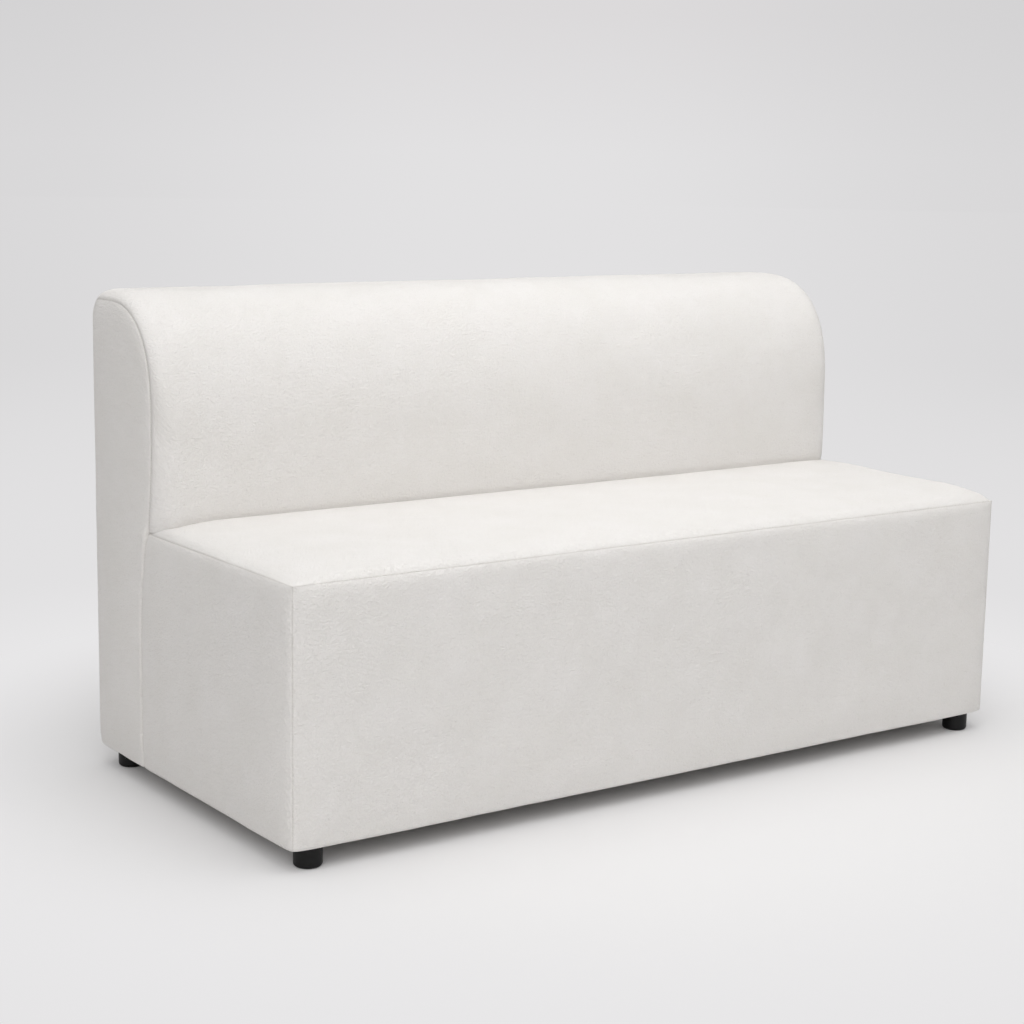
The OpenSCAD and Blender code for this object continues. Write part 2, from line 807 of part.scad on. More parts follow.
module back_rail(r) {
    color("burlywood")
        bar([-former_x, r[0], r[1]], [former_x, r[0] + r[2], r[1] + r[3]]);
}

module back_rail_face_mid() {
    back_rail(rail_rects[0]);
}

module back_rail_face_high() {
    back_rail(rail_rects[1]);
}

module back_rail_crest() {
    back_rail(rail_rects[2]);
}

module back_rail_rear() {
    back_rail(rail_rects[3]);
}

// Bent board over the face and the crest, and the flat board behind
module back_board_face() {
    outer = concat([[back_board_y, timber_z]], rigid_arc(back_board_y, back_board_top),
        [[rear_board_y, back_board_top]]);
    inner = concat([[former_y, timber_z]], rigid_arc(former_y, former_top), [[rear_board_y, former_top]]);
    color("peru")
        along_x(concat(outer, turned(inner)), -former_x, former_x);
}

module back_board_rear() {
    color("peru")
        bar([-former_x, former_rear_y, timber_z], [former_x, rear_board_y, former_top]);
}

// Back padding
module back_foam_face() {
    deep = cover_t + foam_gap;
    outer = concat([[joint_y + deep, timber_z]], face_column(mid_col, deep, fold_z));
    inner = concat([[back_board_y, timber_z]], rigid_arc(back_board_y, back_board_top),
        [[rear_board_y, back_board_top], [rear_board_y, end_arc(corner_step, deep)[1]]]);
    color("khaki")
        along_x(concat(outer, turned(inner)), -former_x, former_x);
}

// The end pad fills the roll between the outer former and the end cover
pad_low = plank_top + soft_gap;
function pad_loop(i) =
    let (rows = concat(low_column(i, skin_in, pad_low), high_column(i, skin_in)))
    let (count = len(rows))
    rim_points([for (r = [0:count - 1])
        let (k = r - low_count - len(high_row_shares) + 1)
        let (rear = k >= corner_step ? corner_y(k, skin_in) : half_d - skin_in)
        let (crown = crest_crown * round_rise(cols[i]))
        let (rear_z = k >= corner_step ? corner_z(k, skin_in, crown) : rows[r][1])
        [for (s = across_shares)
            [-col_x(i, skin_in), lerp(rows[r][0], rear, s), lerp(rows[r][1], rear_z, s)]]]);

module back_pad_end() {
    color("khaki")
        block(back_end(skin_in, pad_low), [for (i = [1:len(end_roll_shares) - 1]) pad_loop(i)]);
}

module back_pad_right() {
    back_pad_end();
}

module back_pad_left() {
    mirror([1, 0, 0])
        back_pad_end();
}

module back_wadding_rear() {
    top = end_arc(corner_step, skin_in)[1];
    x_in = former_x / (half_l - skin_in);
    low = [for (s = face_row_shares) [for (i = [0:len(cols) - 1])
        [col_x(i, skin_in) * x_in, rear_board_y, lerp(timber_z, top, s)]]];
    color("whitesmoke")
        block(back_rear(skin_in, timber_z, x_in), [rim_points(low)], true);
}

// Back cover panels
module back_cover_face() {
    insets = [hem_w, fold_r];
    color("linen")
        skin(concat(hem_rows(joint_y, 1, 0, insets), back_face(0, fold_z)),
            concat(hem_rows(joint_y, 1, cover_t, insets), back_face(cover_t, fold_z)));
}

module back_cover_end() {
    color("linen")
        skin(concat(back_end_hem(0), back_end(0, fold_z)),
            concat(back_end_hem(cover_t), back_end(cover_t, fold_z)));
}

module back_cover_right() {
    back_cover_end();
}

module back_cover_left() {
    mirror([1, 0, 0])
        back_cover_end();
}

module back_cover_rear() {
    insets = [hem_w, fold_r];
    color("linen")
        skin(concat(hem_rows(half_d, -1, 0, insets), back_rear(0, fold_z, 1)),
            concat(hem_rows(half_d, -1, cover_t, insets), back_rear(cover_t, fold_z, 1)), true);
}

module back_dust_cover() {
    color("dimgray")
        difference() {
            bar([dust_inset - half_l, joint_y + dust_inset, dust_z],
                [half_l - dust_inset, half_d - dust_inset, base_h]);
            foot_holes(dust_z - cut_over, base_h + cut_over, [foot_places[2], foot_places[3]]);
            screw_holes(back_screw_y, dust_z - cut_over, base_h + cut_over);
        }
}

// Steel plates under both modules, and their screws
module joining_plates() {
    color("silver")
        difference() {
            for (x = plate_xs)
                bar([x - plate_w / 2, seat_screw_y - plate_margin, plate_low],
                    [x + plate_w / 2, back_screw_y + plate_margin, plate_top]);
            screw_holes(seat_screw_y, plate_low - cut_over, plate_top + cut_over);
            screw_holes(back_screw_y, plate_low - cut_over, plate_top + cut_over);
        }
}

module joining_screws() {
    color("silver")
        for (x = screw_xs)
            for (y = [seat_screw_y, back_screw_y]) {
                upright_hole(x, y, screw_d, plate_low - screw_head_h, screw_high);
                upright_hole(x, y, screw_head_d, plate_low - screw_head_h, plate_low);
            }
}

seat_rail_front_low();
seat_rail_front_high();
seat_rail_rear_low();
seat_rail_rear_high();
seat_rail_left_low();
seat_rail_left_high();
seat_rail_right_low();
seat_rail_right_high();
seat_post_front_left();
seat_post_front_right();
seat_post_rear_left();
seat_post_rear_right();
seat_post_front_mid();
seat_post_rear_mid();
seat_stretcher_mid();
seat_board_front();
seat_board_left();
seat_board_right();
seat_webbing_long();
seat_webbing_cross();
seat_foam_core();
seat_wadding_top();
seat_wadding_front();
seat_wadding_left();
seat_wadding_right();
seat_wadding_rear();
seat_cover_top();
seat_cover_front();
seat_cover_left();
seat_cover_right();
seat_cover_rear();
seat_dust_cover();
foot_front_left();
foot_front_right();
foot_rear_left();
foot_rear_right();
foot_bolts();
back_plank();
back_former_left();
back_former_right();
back_rib_left();
back_rib_right();
back_rail_face_mid();
back_rail_face_high();
back_rail_crest();
back_rail_rear();
back_board_face();
back_board_rear();
back_foam_face();
back_pad_left();
back_pad_right();
back_wadding_rear();
back_cover_face();
back_cover_left();
back_cover_right();
back_cover_rear();
back_dust_cover();
joining_plates();
joining_screws();
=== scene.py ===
"""Armless three-seater sofa: a box seat before a full-height back, both in taut off-white fabric."""
import json
import math
import bpy
import numpy as np
from mathutils import Matrix, Vector


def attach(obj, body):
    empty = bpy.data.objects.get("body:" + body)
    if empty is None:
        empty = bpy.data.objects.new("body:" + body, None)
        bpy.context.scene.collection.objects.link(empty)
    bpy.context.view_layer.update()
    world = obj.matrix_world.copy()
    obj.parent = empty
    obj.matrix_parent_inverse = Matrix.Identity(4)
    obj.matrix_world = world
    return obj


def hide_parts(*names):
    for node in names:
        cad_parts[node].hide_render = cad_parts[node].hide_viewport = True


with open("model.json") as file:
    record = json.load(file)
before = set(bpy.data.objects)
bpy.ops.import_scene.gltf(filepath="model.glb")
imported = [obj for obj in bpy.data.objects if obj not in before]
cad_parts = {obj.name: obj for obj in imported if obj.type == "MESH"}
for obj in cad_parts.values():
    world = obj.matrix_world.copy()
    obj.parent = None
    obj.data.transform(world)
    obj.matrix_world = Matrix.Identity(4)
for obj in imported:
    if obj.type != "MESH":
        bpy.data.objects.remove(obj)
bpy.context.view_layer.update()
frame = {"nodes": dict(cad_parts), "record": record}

# Sizes in metres: X runs along the sofa, Y from front to rear, Z up. The seams, joints and arcs lie
# where the part's source has them; the crown, the roll and the fold are the fabric's own
HALF_L, HALF_D = 0.744, 0.343
SEAT_SEAM, BACK_SEAM, BASE = 0.4385, 0.811, 0.034
SEAT_CROWN, SEAT_ROLL = 0.0220, 0.120
JOINT_Y, END_SEAM_Y, FACE_Y, CREST_Y = 0.161, 0.123, 0.094, 0.275
SEAT_DEEP = HALF_D + FACE_Y
END_ROUND_H, FACE_ROUND_H, CREST_CROWN = 0.171, 0.238, 0.017
END_ROUND_Z = BACK_SEAM - END_ROUND_H
FACE_ROUND_Z = BACK_SEAM + CREST_CROWN - FACE_ROUND_H
END_ROLL, REAR_CORNER = 0.035, 0.028
END_TUCK = (0.240, 0.600)
FACE_TUCK = (0.335, 0.450)
CLOTH, JOINT_GAP, HEM = 0.0016, 0.0003, 0.020
FOLD, REAR_FOLD = 0.005, 0.017
ARC_POWER, CROWN_POWER = 2.4, 2.0

# How the fabric plumps up beside its seams, and over what reach
FRONT_PLUMP, END_PLUMP, REAR_PLUMP = 0.0085, 0.0080, 0.0080
PLUMP_REACH, SEAT_END_REACH, BACK_END_REACH = 0.017, 0.0105, 0.018
ROLL_REACH, SWELL_REACH = 0.4, 1.5
FACE_PLUMP, FACE_REACH = 0.0050, 0.008
# Where the two modules meet, the end panels keep this share of their swell
JOINT_KEEP, JOINT_REACH = 0.25, 0.004
# The neighbours of an end panel follow its swell over this reach
SIDE_REACH = 0.01
# Depth and width of the grooves; rows this near a top seam sink with its groove
GROOVE, GROOVE_W = 0.0003, 0.0009
JOINT_GROOVE, JOINT_GROOVE_W = 0.0050, 0.0021
SINK_REACH = 0.02

# The seat's crown: the share that rises quickly beside the seam, and within what band
CROWN_QUICK, CROWN_BAND = 0.45, 0.016
LEFT_FRONT_QUICK = 0.12
RIGHT_QUICK, RIGHT_BAND = 0.85, 0.020
# The right end's extra height, and a little more of it just before the joint
RIGHT_FULLER, RIGHT_REACH = 0.12, 0.25
HUMP, HUMP_REACH, HUMP_PLACE, HUMP_WIDTH = 0.16, 0.16, 0.8, 0.15
# How far the top's rear edge dips into the joint
REAR_DROP, REAR_DROP_REACH = 0.0008, 0.006

# The padding's unevenness fades out this near a seam, and on the back's face behind the seat
CALM_REACH, FACE_SHOWS, CALM_BAND = 0.03, 0.45, 0.1
# Behind the seat's edge: where the end panels' swell fades, and how the face leaves the seat's curve
KEEP_BELOW, KEEP_BAND, START_SHARE = 0.02, 0.05, 0.06
# The back's end panel draws in towards a middle that lies no higher than this
END_MIDDLE_Z = 0.72

# Rows of a hem and of the fold beside it
HEM_ROWS, ARC_ROWS = 3, 6
FOLD_ROWS = HEM_ROWS + ARC_ROWS

# The cloth simulation's cell, pressure, last frame and largest move
SIM_GRID, SIM_PRESSURE, SIM_FRAMES, SIM_MOST, FACE_MOST = 0.022, 4.0, 20, 0.0018, 0.0055
# The face's path that the seat holds still, and the height from which the foam holds the crest
FACE_HELD, FIRM_Z, FIRM_BAND = 0.46, 0.79, 0.14


def lerp(a, b, s):
    return a + (b - a) * s


def ease(s):
    return (1 - np.cos(np.pi * np.clip(s, 0, 1))) / 2


def rise(d, band, power):
    return 1 - (1 - np.clip(d / band, 0, 1)) ** power


def round_rise(d):
    return np.sqrt(1 - (1 - np.clip(d / END_ROLL, 0, 1)) ** 2)


def plump(d, reach=PLUMP_REACH):
    """A small tight roll right beside the seam, and a slower swell behind it."""
    d = np.maximum(d, 0) / reach
    return 1 - 0.5 * np.exp(-d / ROLL_REACH) - 0.5 * np.exp(-d / SWELL_REACH)


def groove(d):
    return GROOVE * np.exp(-((d / GROOVE_W) ** 2))


def joint_groove(d):
    """The soft edges of the two modules roll in where they meet."""
    return JOINT_GROOVE * np.exp(-((d / JOINT_GROOVE_W) ** 2))


def above_fold(z, less=0.30, band=0.055):
    """Share of their swell that panels keep near the floor, where they stay full but for the fold."""
    return 1 - less * (1 - rise(z - BASE, band, 2))


def end_curve(z):
    return lerp(JOINT_Y, END_SEAM_Y, ease((z - END_TUCK[0]) / (END_TUCK[1] - END_TUCK[0])))


def face_curve(z):
    return lerp(JOINT_Y, FACE_Y, ease((z - FACE_TUCK[0]) / (FACE_TUCK[1] - FACE_TUCK[0])))


def joint_curve(c, z):
    return lerp(end_curve(z), face_curve(z), round_rise(c))


def crown_rise(d, quick=CROWN_QUICK, band=CROWN_BAND):
    return quick * rise(d, band, 2) + (1 - quick) * rise(d, SEAT_ROLL, CROWN_POWER)


def crown_z(c, q, back=1.0):
    """The seat's height along its length, at its rear (back 1) or nearer the front (down to 0).

    The photograph shows it a little fuller at the right end, and rolled over quickly at the left
    end's rear.
    """
    fuller = 1 + RIGHT_FULLER * (np.exp(-c / RIGHT_REACH) - np.exp(-HALF_L / RIGHT_REACH))
    fuller = fuller + HUMP * np.exp(-c / HUMP_REACH - ((back - HUMP_PLACE) / HUMP_WIDTH) ** 2)
    right = fuller * crown_rise(c, RIGHT_QUICK, RIGHT_BAND)
    left = crown_rise(c, lerp(LEFT_FRONT_QUICK, CROWN_QUICK, back))
    return SEAT_SEAM + SEAT_CROWN * np.where(q > 0, right, left)


def graded(length, first=0.0007, grow=1.32, most=0.009, ends=(True, True)):
    """Places from 0 to length, close together beside the seams and wider between them."""
    near = [0.0]
    step = first
    while step < most and near[-1] < length / 3:
        near.append(near[-1] + step)
        step *= grow
    near = np.array(near)
    low = near if ends[0] else near[:1]
    high = length - near[::-1] if ends[1] else np.array([length])
    count = max(2, int(math.ceil((high[0] - low[-1]) / most)) + 1)
    return np.concatenate([low[:-1], np.linspace(low[-1], high[0], count), high[1:]])


def waves(a, b, seed, reach=0.11, strength=0.0005):
    """Slow unevenness of the padding, as a sum of plane waves with fixed directions."""
    rng = np.random.default_rng(seed)
    total = 0
    for _ in range(10):
        angle, phase = rng.uniform(0, 2 * np.pi, 2)
        pace = 2 * np.pi / (reach * rng.uniform(0.6, 2.2))
        total = total + np.sin(pace * (a * np.cos(angle) + b * np.sin(angle)) + phase)
    return strength * total / np.sqrt(5)


def fold_rows(radius, deep):
    """Rows that fold under the frame: side inset, height and how far along the hem each lies."""
    inset = [lerp(HEM, radius, h / HEM_ROWS) for h in range(HEM_ROWS)]
    z = [BASE + deep] * HEM_ROWS
    hem = [1 - h / HEM_ROWS for h in range(HEM_ROWS)]
    for k in range(ARC_ROWS, 0, -1):
        angle = math.pi / 2 * k / ARC_ROWS
        inset.append(radius - (radius - deep) * math.cos(angle))
        z.append(BASE + radius - (radius - deep) * math.sin(angle))
        hem.append(0.0)
    return np.array(inset), np.array(z), np.array(hem)


def fold_inset(radius, deep, z, hem):
    """Inset that a neighbour's fold has at the same height."""
    s = np.clip((BASE + radius - z) / (radius - deep), 0, 1)
    return np.where(hem > 0, lerp(radius, HEM, hem), radius - (radius - deep) * np.sqrt(1 - s * s))


def grids(*arrays):
    return [np.array(a, dtype=float) for a in np.broadcast_arrays(*arrays)]


def rows_and_columns(rows, columns):
    return np.asarray(rows)[:, None], np.asarray(columns)[None, :]


def surface(point, place, seam):
    """What a form gives: its grid of points, their places on the cloth map and how far off a seam is."""
    points = np.stack(grids(*point), -1)
    return points, np.stack(grids(*place), -1), np.broadcast_to(seam, points.shape[:2])


ACROSS = graded(2 * HALF_L) - HALF_L


def seat_top(deep):
    f, q = rows_and_columns(graded(SEAT_DEEP), ACROSS)
    c = HALF_L - np.abs(q)
    from_rear = SEAT_DEEP - f
    seam = np.minimum(np.minimum(c, f), from_rear)
    d = deep + groove(np.minimum(c, f))
    crown = crown_z(c, q, f / SEAT_DEEP)
    y = lerp(d - HALF_D, joint_curve(c, crown_z(c, q)) - JOINT_GAP - d, f / SEAT_DEEP)
    z = SEAT_SEAM - d + (crown - SEAT_SEAM) * crown_rise(f)
    z = z - REAR_DROP * np.exp(-from_rear / REAR_DROP_REACH)
    z = z + waves(q, f, 3) * plump(seam, CALM_REACH)
    x = q * (HALF_L - d) / HALF_L
    return surface((x, y, z), (q, f), np.minimum(c, f))


def upright_rows(deep, top, radius, most=0.009):
    """The fold, and then the rows up to a seam."""
    inset, z, hem = fold_rows(radius, deep)
    up = graded(top - BASE - radius, most=most, ends=(False, True))
    share = up / up[-1]
    z = np.concatenate([z, lerp(BASE + radius, top - deep, share)])
    inset = np.concatenate([inset, np.full(len(up), deep)])
    hem = np.concatenate([hem, np.zeros(len(up))])
    path = np.concatenate([[-HEM * h for h in hem[:FOLD_ROWS]], radius + up])
    return inset[:, None], z[:, None], hem[:, None], path[:, None]


def seat_front(deep):
    inset, z, hem, path = upright_rows(deep, SEAT_SEAM, FOLD)
    q = ACROSS[None, :]
    c = HALF_L - np.abs(q)
    top = SEAT_SEAM - deep - z
    seam = np.minimum(c, top)
    d = groove(seam)
    out = FRONT_PLUMP * plump(c) * plump(top) * above_fold(z) * (1 - hem)
    out = out + waves(q, z, 5) * plump(seam, CALM_REACH) * (1 - hem)
    x = q * (HALF_L - inset - d) / HALF_L
    y = -(HALF_D - inset - d) - out
    z = z - d * (top < SINK_REACH)
    return surface((x, y, z), (q, path), seam)


def seat_end(deep):
    inset, z, hem, path = upright_rows(deep, SEAT_SEAM, FOLD)
    wide = HALF_D + JOINT_Y
    s = (graded(wide) / wide)[None, :]
    top = SEAT_SEAM - deep - z
    span = HALF_D + end_curve(z) - JOINT_GAP - 2 * inset
    front, rear = s * span, (1 - s) * span
    seam = np.minimum(front, top)
    d = groove(seam)
    out = END_PLUMP * plump(front, SEAT_END_REACH) * lerp(JOINT_KEEP, 1, plump(rear, JOINT_REACH))
    out = out * plump(top) * above_fold(z) * (1 - hem)
    out = out + waves(s * wide, z, 7) * plump(np.minimum(seam, rear), CALM_REACH) * (1 - hem)
    x = HALF_L - inset - np.maximum(d, joint_groove(rear)) + out
    y = lerp(inset + d - HALF_D, end_curve(z) - JOINT_GAP - inset, s)
    z = z - d * (top < SINK_REACH)
    return surface((x, y, z), (s * wide, path), seam)


def joint_out(z, hem):
    """How far the end panels stand out along the joint of the two modules."""
    return END_PLUMP * JOINT_KEEP * plump(SEAT_SEAM - z) * above_fold(z) * (1 - hem)


def seat_lining(deep):
    inset, z, hem, path = upright_rows(deep, SEAT_SEAM, FOLD, most=0.022)
    q = ACROSS[None, ::2] if len(ACROSS) % 2 else ACROSS[None, :]
    c = HALF_L - np.abs(q)
    share = np.clip((z - BASE - FOLD) / (SEAT_SEAM - deep - BASE - FOLD), 0, 1)
    z = z + share * (crown_z(c, q) - SEAT_SEAM - REAR_DROP)
    x = q * (HALF_L - inset) / HALF_L
    x = x + np.sign(q) * (joint_out(z, hem) * np.exp(-c / SIDE_REACH) - joint_groove(c))
    y = joint_curve(c, np.maximum(z + deep, BASE)) - JOINT_GAP - inset
    return surface((x, y, z), (q, path), c)


def arc_y(angle, radius):
    return CREST_Y - radius * np.cos(angle) ** (2 / ARC_POWER)


def arc_z(angle, start, radius):
    return start + radius * np.sin(angle) ** (2 / ARC_POWER)


def end_arc(angle, d):
    return arc_y(angle, CREST_Y - END_SEAM_Y - d), arc_z(angle, END_ROUND_Z, END_ROUND_H - d)


def face_arc(angle, d):
    return arc_y(angle, CREST_Y - FACE_Y - d), arc_z(angle, FACE_ROUND_Z, FACE_ROUND_H - d)


# The crest's corner begins at this angle of the end's rounding
CORNER_ANGLE = math.radians(50)
REAR_SEAM = float(end_arc(CORNER_ANGLE, 0)[1])


def corner_z(part, d, crown):
    low, high = end_arc(CORNER_ANGLE, d)[1], end_arc(math.pi / 2, d)[1]
    return low + (high + crown - low) * part


def corner_y(part, d):
    return HALF_D - REAR_CORNER + (REAR_CORNER - d) * np.sqrt(np.maximum(0, 1 - part ** 2))


def back_path():
    """Rows over the face: the fold, the upright face, the rounding, the crest and the corner behind it."""
    low = np.concatenate([np.linspace(BASE + FOLD, 0.40, 15), np.linspace(0.408, SEAT_SEAM, 6)])
    high = np.concatenate([[0.01, 0.02, 0.035, 0.05, 0.07, 0.09, 0.115], np.linspace(0.14, 1, 22)])
    angles = np.radians(np.concatenate([[0.6, 1.6, 3.2, 5.4, 8], np.linspace(11, 90, 30)]))
    parts = np.concatenate([[1.0], np.sin(np.linspace(np.pi / 2, 0, 13))[1:]])
    return low, high, angles, parts


def end_keep(z):
    """Share of the end panels' swell that stays at their front edge: it fades out above the seat."""
    return JOINT_KEEP * (1 - ease((z - SEAT_SEAM + KEEP_BELOW) / KEEP_BAND))


def back_wrap(deep):
    low, high, angles, parts = back_path()
    q = ACROSS[None, :]
    c = HALF_L - np.abs(q)
    turn = round_rise(c)
    inset, z, hem = (a[:, None] for a in fold_rows(FOLD, deep))
    d = deep + groove(c)
    rows_y = [JOINT_Y + inset + 0 * q]
    rows_z = [z + 0 * q]
    sides = [inset + 0 * q]
    keep = [(1 - hem) * above_fold(z) + 0 * q]
    z = low[:, None]
    rows_y.append(joint_curve(c, z) + d)
    rows_z.append(z + 0 * q)
    sides.append(d + 0 * z)
    keep.append(above_fold(z) + 0 * q)
    s = high[:, None]
    crown = crown_z(c, q)
    end_z = lerp(SEAT_SEAM, END_ROUND_Z, s)
    y = lerp(end_curve(end_z), FACE_Y, turn) + d
    z = lerp(end_z, lerp(crown, FACE_ROUND_Z, s), turn)
    start = np.exp(-s / START_SHARE)
    y = y + start * (joint_curve(c, crown) - lerp(end_curve(SEAT_SEAM), FACE_Y, turn))
    z = z + start * (crown - lerp(SEAT_SEAM, crown, turn))
    over_seat = 1 - np.exp(-np.maximum(z - crown, 0) / FACE_REACH)
    y = y - FACE_PLUMP * over_seat * turn * (1 - ease(s))
    rows_y.append(y)
    rows_z.append(z)
    sides.append(d + 0 * s)
    keep.append(1 + 0 * z)
    a = angles[:, None]
    (y0, z0), (y1, z1) = end_arc(a, d), face_arc(a, d)
    rows_y.append(lerp(y0, y1, turn))
    rows_z.append(lerp(z0, z1, turn))
    sides.append(d + 0 * a)
    keep.append(1 + 0 * (a + q))
    p = parts[:, None]
    rows_y.append(corner_y(p, d) - groove(p * 0.05) * (1 - p))
    rows_z.append(corner_z(p, d, CREST_CROWN * turn))
    sides.append(d + 0 * p)
    keep.append(1 + 0 * (p + q))
    y, z, side = (np.concatenate(r) for r in (rows_y, rows_z, sides))
    x = q * (HALF_L - side) / HALF_L
    at_joint = end_keep(z) / JOINT_KEEP
    x = x + np.sign(q) * END_PLUMP * end_keep(z) * np.concatenate(keep) * np.exp(-c / SIDE_REACH)
    x = x - np.sign(q) * at_joint * np.maximum(joint_groove(c) - groove(c), 0)
    middle = y.shape[1] // 2
    path = run_length(np.hypot(np.diff(y[:, middle]), np.diff(z[:, middle])))[:, None]
    bend = waves(q, path, 11) * plump(c, CALM_REACH)
    bend = bend * ease((path - FACE_SHOWS) / CALM_BAND) * ease((path[-1] - path) / CALM_BAND)
    slope_y, slope_z = np.gradient(y, axis=0), np.gradient(z, axis=0)
    size = np.maximum(np.hypot(slope_y, slope_z), 1e-9)
    y = y - bend * slope_z / size
    z = z + bend * slope_y / size
    seam = np.minimum(c + 0 * z, np.abs(path[-1] - path) + 0 * q)
    return surface((x, y, z), (q, path), seam)


def near_line(y, z, line):
    """Distance of every point from a line through the given places in the plane of the end."""
    best = np.full(y.shape, 1e9)
    for (y0, z0), (y1, z1) in zip(line[:-1], line[1:]):
        ey, ez = y1 - y0, z1 - z0
        t = np.clip(((y - y0) * ey + (z - z0) * ez) / max(ey * ey + ez * ez, 1e-12), 0, 1)
        best = np.minimum(best, np.hypot(y - y0 - t * ey, z - z0 - t * ez))
    return best


def back_end(deep):
    low, high, angles, parts = back_path()
    inset, z_fold, hem = fold_rows(FOLD, deep)
    z_high = lerp(SEAT_SEAM, END_ROUND_Z, high)
    arc_front, arc_top = end_arc(angles, deep)
    z = np.concatenate([z_fold, low, z_high, arc_top])
    front = np.concatenate([JOINT_Y + inset, end_curve(low) + deep, end_curve(z_high) + deep, arc_front])
    inset = np.concatenate([inset, np.full(len(z) - len(inset), deep)])
    hem = np.concatenate([hem, np.zeros(len(z) - len(hem))])
    z_low, z_top = end_arc(CORNER_ANGLE, deep)[1], end_arc(math.pi / 2, deep)[1]
    part = np.clip((z - z_low) / (z_top - z_low), 0, 1)
    rear = np.where(part > 0, corner_y(part, deep), HALF_D - fold_inset(REAR_FOLD, deep, z, hem))
    wide = HALF_D - END_SEAM_Y
    s = (graded(wide, most=0.008) / wide)[None, :]
    front, rear, z, inset, hem = (a[:, None] for a in (front, rear, z, inset, hem))
    y = lerp(front, rear, s)
    front_line = np.stack([front[FOLD_ROWS:, 0], z[FOLD_ROWS:, 0]], -1)
    rear_line = np.stack([rear[FOLD_ROWS:, 0], z[FOLD_ROWS:, 0]], -1)[::-1]
    rear_line = np.concatenate([front_line[-1:], rear_line])
    near_front, near_rear = near_line(y, z + 0 * y, front_line), near_line(y, z + 0 * y, rear_line)
    keep = end_keep(z)
    at_joint = keep / JOINT_KEEP
    reach = lerp(BACK_END_REACH, JOINT_REACH, at_joint)
    out = END_PLUMP * lerp(keep, 1, plump(near_front, reach)) * plump(near_rear)
    out = out * above_fold(z) * (1 - hem)
    seam = np.minimum(near_front, near_rear)
    out = out + waves(y, z, 13, 0.09) * plump(seam, CALM_REACH) * (1 - hem)
    d = lerp(groove(seam), groove(near_rear), at_joint)
    x = HALF_L - inset - np.maximum(d, at_joint * joint_groove(near_front)) + out
    middle_y, middle_z = (front + rear) / 2, np.minimum(z, END_MIDDLE_Z)
    far = np.maximum(np.hypot(middle_y - y, middle_z - z), 1e-6)
    y = y + d * (middle_y - y) / far
    z = z + d * (middle_z - z) / far
    return surface((x, y, z), (y, z), seam)


def back_rear(deep):
    inset, z, hem, path = upright_rows(deep, REAR_SEAM, REAR_FOLD)
    top_z = end_arc(CORNER_ANGLE, deep)[1]
    share = np.clip((z - BASE - REAR_FOLD) / (REAR_SEAM - deep - BASE - REAR_FOLD), 0, 1)
    z = np.where(share > 0, lerp(BASE + REAR_FOLD, top_z, share), z)
    q = ACROSS[None, :]
    c = HALF_L - np.abs(q)
    top = top_z - z
    seam = np.minimum(c, top)
    d = groove(seam)
    side = fold_inset(FOLD, deep, z, hem) + d
    out = REAR_PLUMP * plump(c) * plump(top) * above_fold(z, 0.6, 0.06) * (1 - hem)
    out = out + waves(q, z, 17) * plump(seam, CALM_REACH) * (1 - hem)
    x = q * (HALF_L - side) / HALF_L
    y = HALF_D - inset - d + out
    return surface((x, y, z), (q, path), seam)


def mirrored(made):
    points, places, seam = made
    points = points.copy()
    points[..., 0] *= -1
    return points, places, seam


def placed_object(name, data):
    made = bpy.data.objects.new(name, data)
    bpy.context.scene.collection.objects.link(made)
    return made


def run_length(steps):
    return np.concatenate([[0], np.cumsum(steps)])


def cells(index):
    """The four-cornered faces between the points of a grid, from their numbers."""
    return np.stack([index[:-1, :-1], index[:-1, 1:], index[1:, 1:], index[1:, :-1]], -1).reshape(-1, 4)


def spaced(along, gap):
    """Indices of places that lie at least a gap apart, with both ends."""
    kept = [0]
    for k in range(1, len(along) - 1):
        if along[k] - along[kept[-1]] >= gap and along[-1] - along[k] >= gap * 0.6:
            kept.append(k)
    return np.array(kept + [len(along) - 1])


def eased_between(new, old, values):
    """Smooth curve through the values at the old places, read at the new ones."""
    slope = np.gradient(values, old, axis=0)
    k = np.clip(np.searchsorted(old, new, side="right") - 1, 0, len(old) - 2)
    step = old[k + 1] - old[k]
    shape = (-1,) + (1,) * (values.ndim - 1)
    t, step = ((new - old[k]) / step).reshape(shape), step.reshape(shape)
    a = (2 * t ** 3 - 3 * t ** 2 + 1) * values[k] + (t ** 3 - 2 * t ** 2 + t) * step * slope[k]
    return a + (3 * t ** 2 - 2 * t ** 3) * values[k + 1] + (t ** 3 - t ** 2) * step * slope[k + 1]


def firm_crest(outer):
    """The foam block keeps the crest and the corner behind it in shape; the face below swells freely."""
    return ease((FIRM_Z - outer[..., 2:]) / FIRM_BAND)


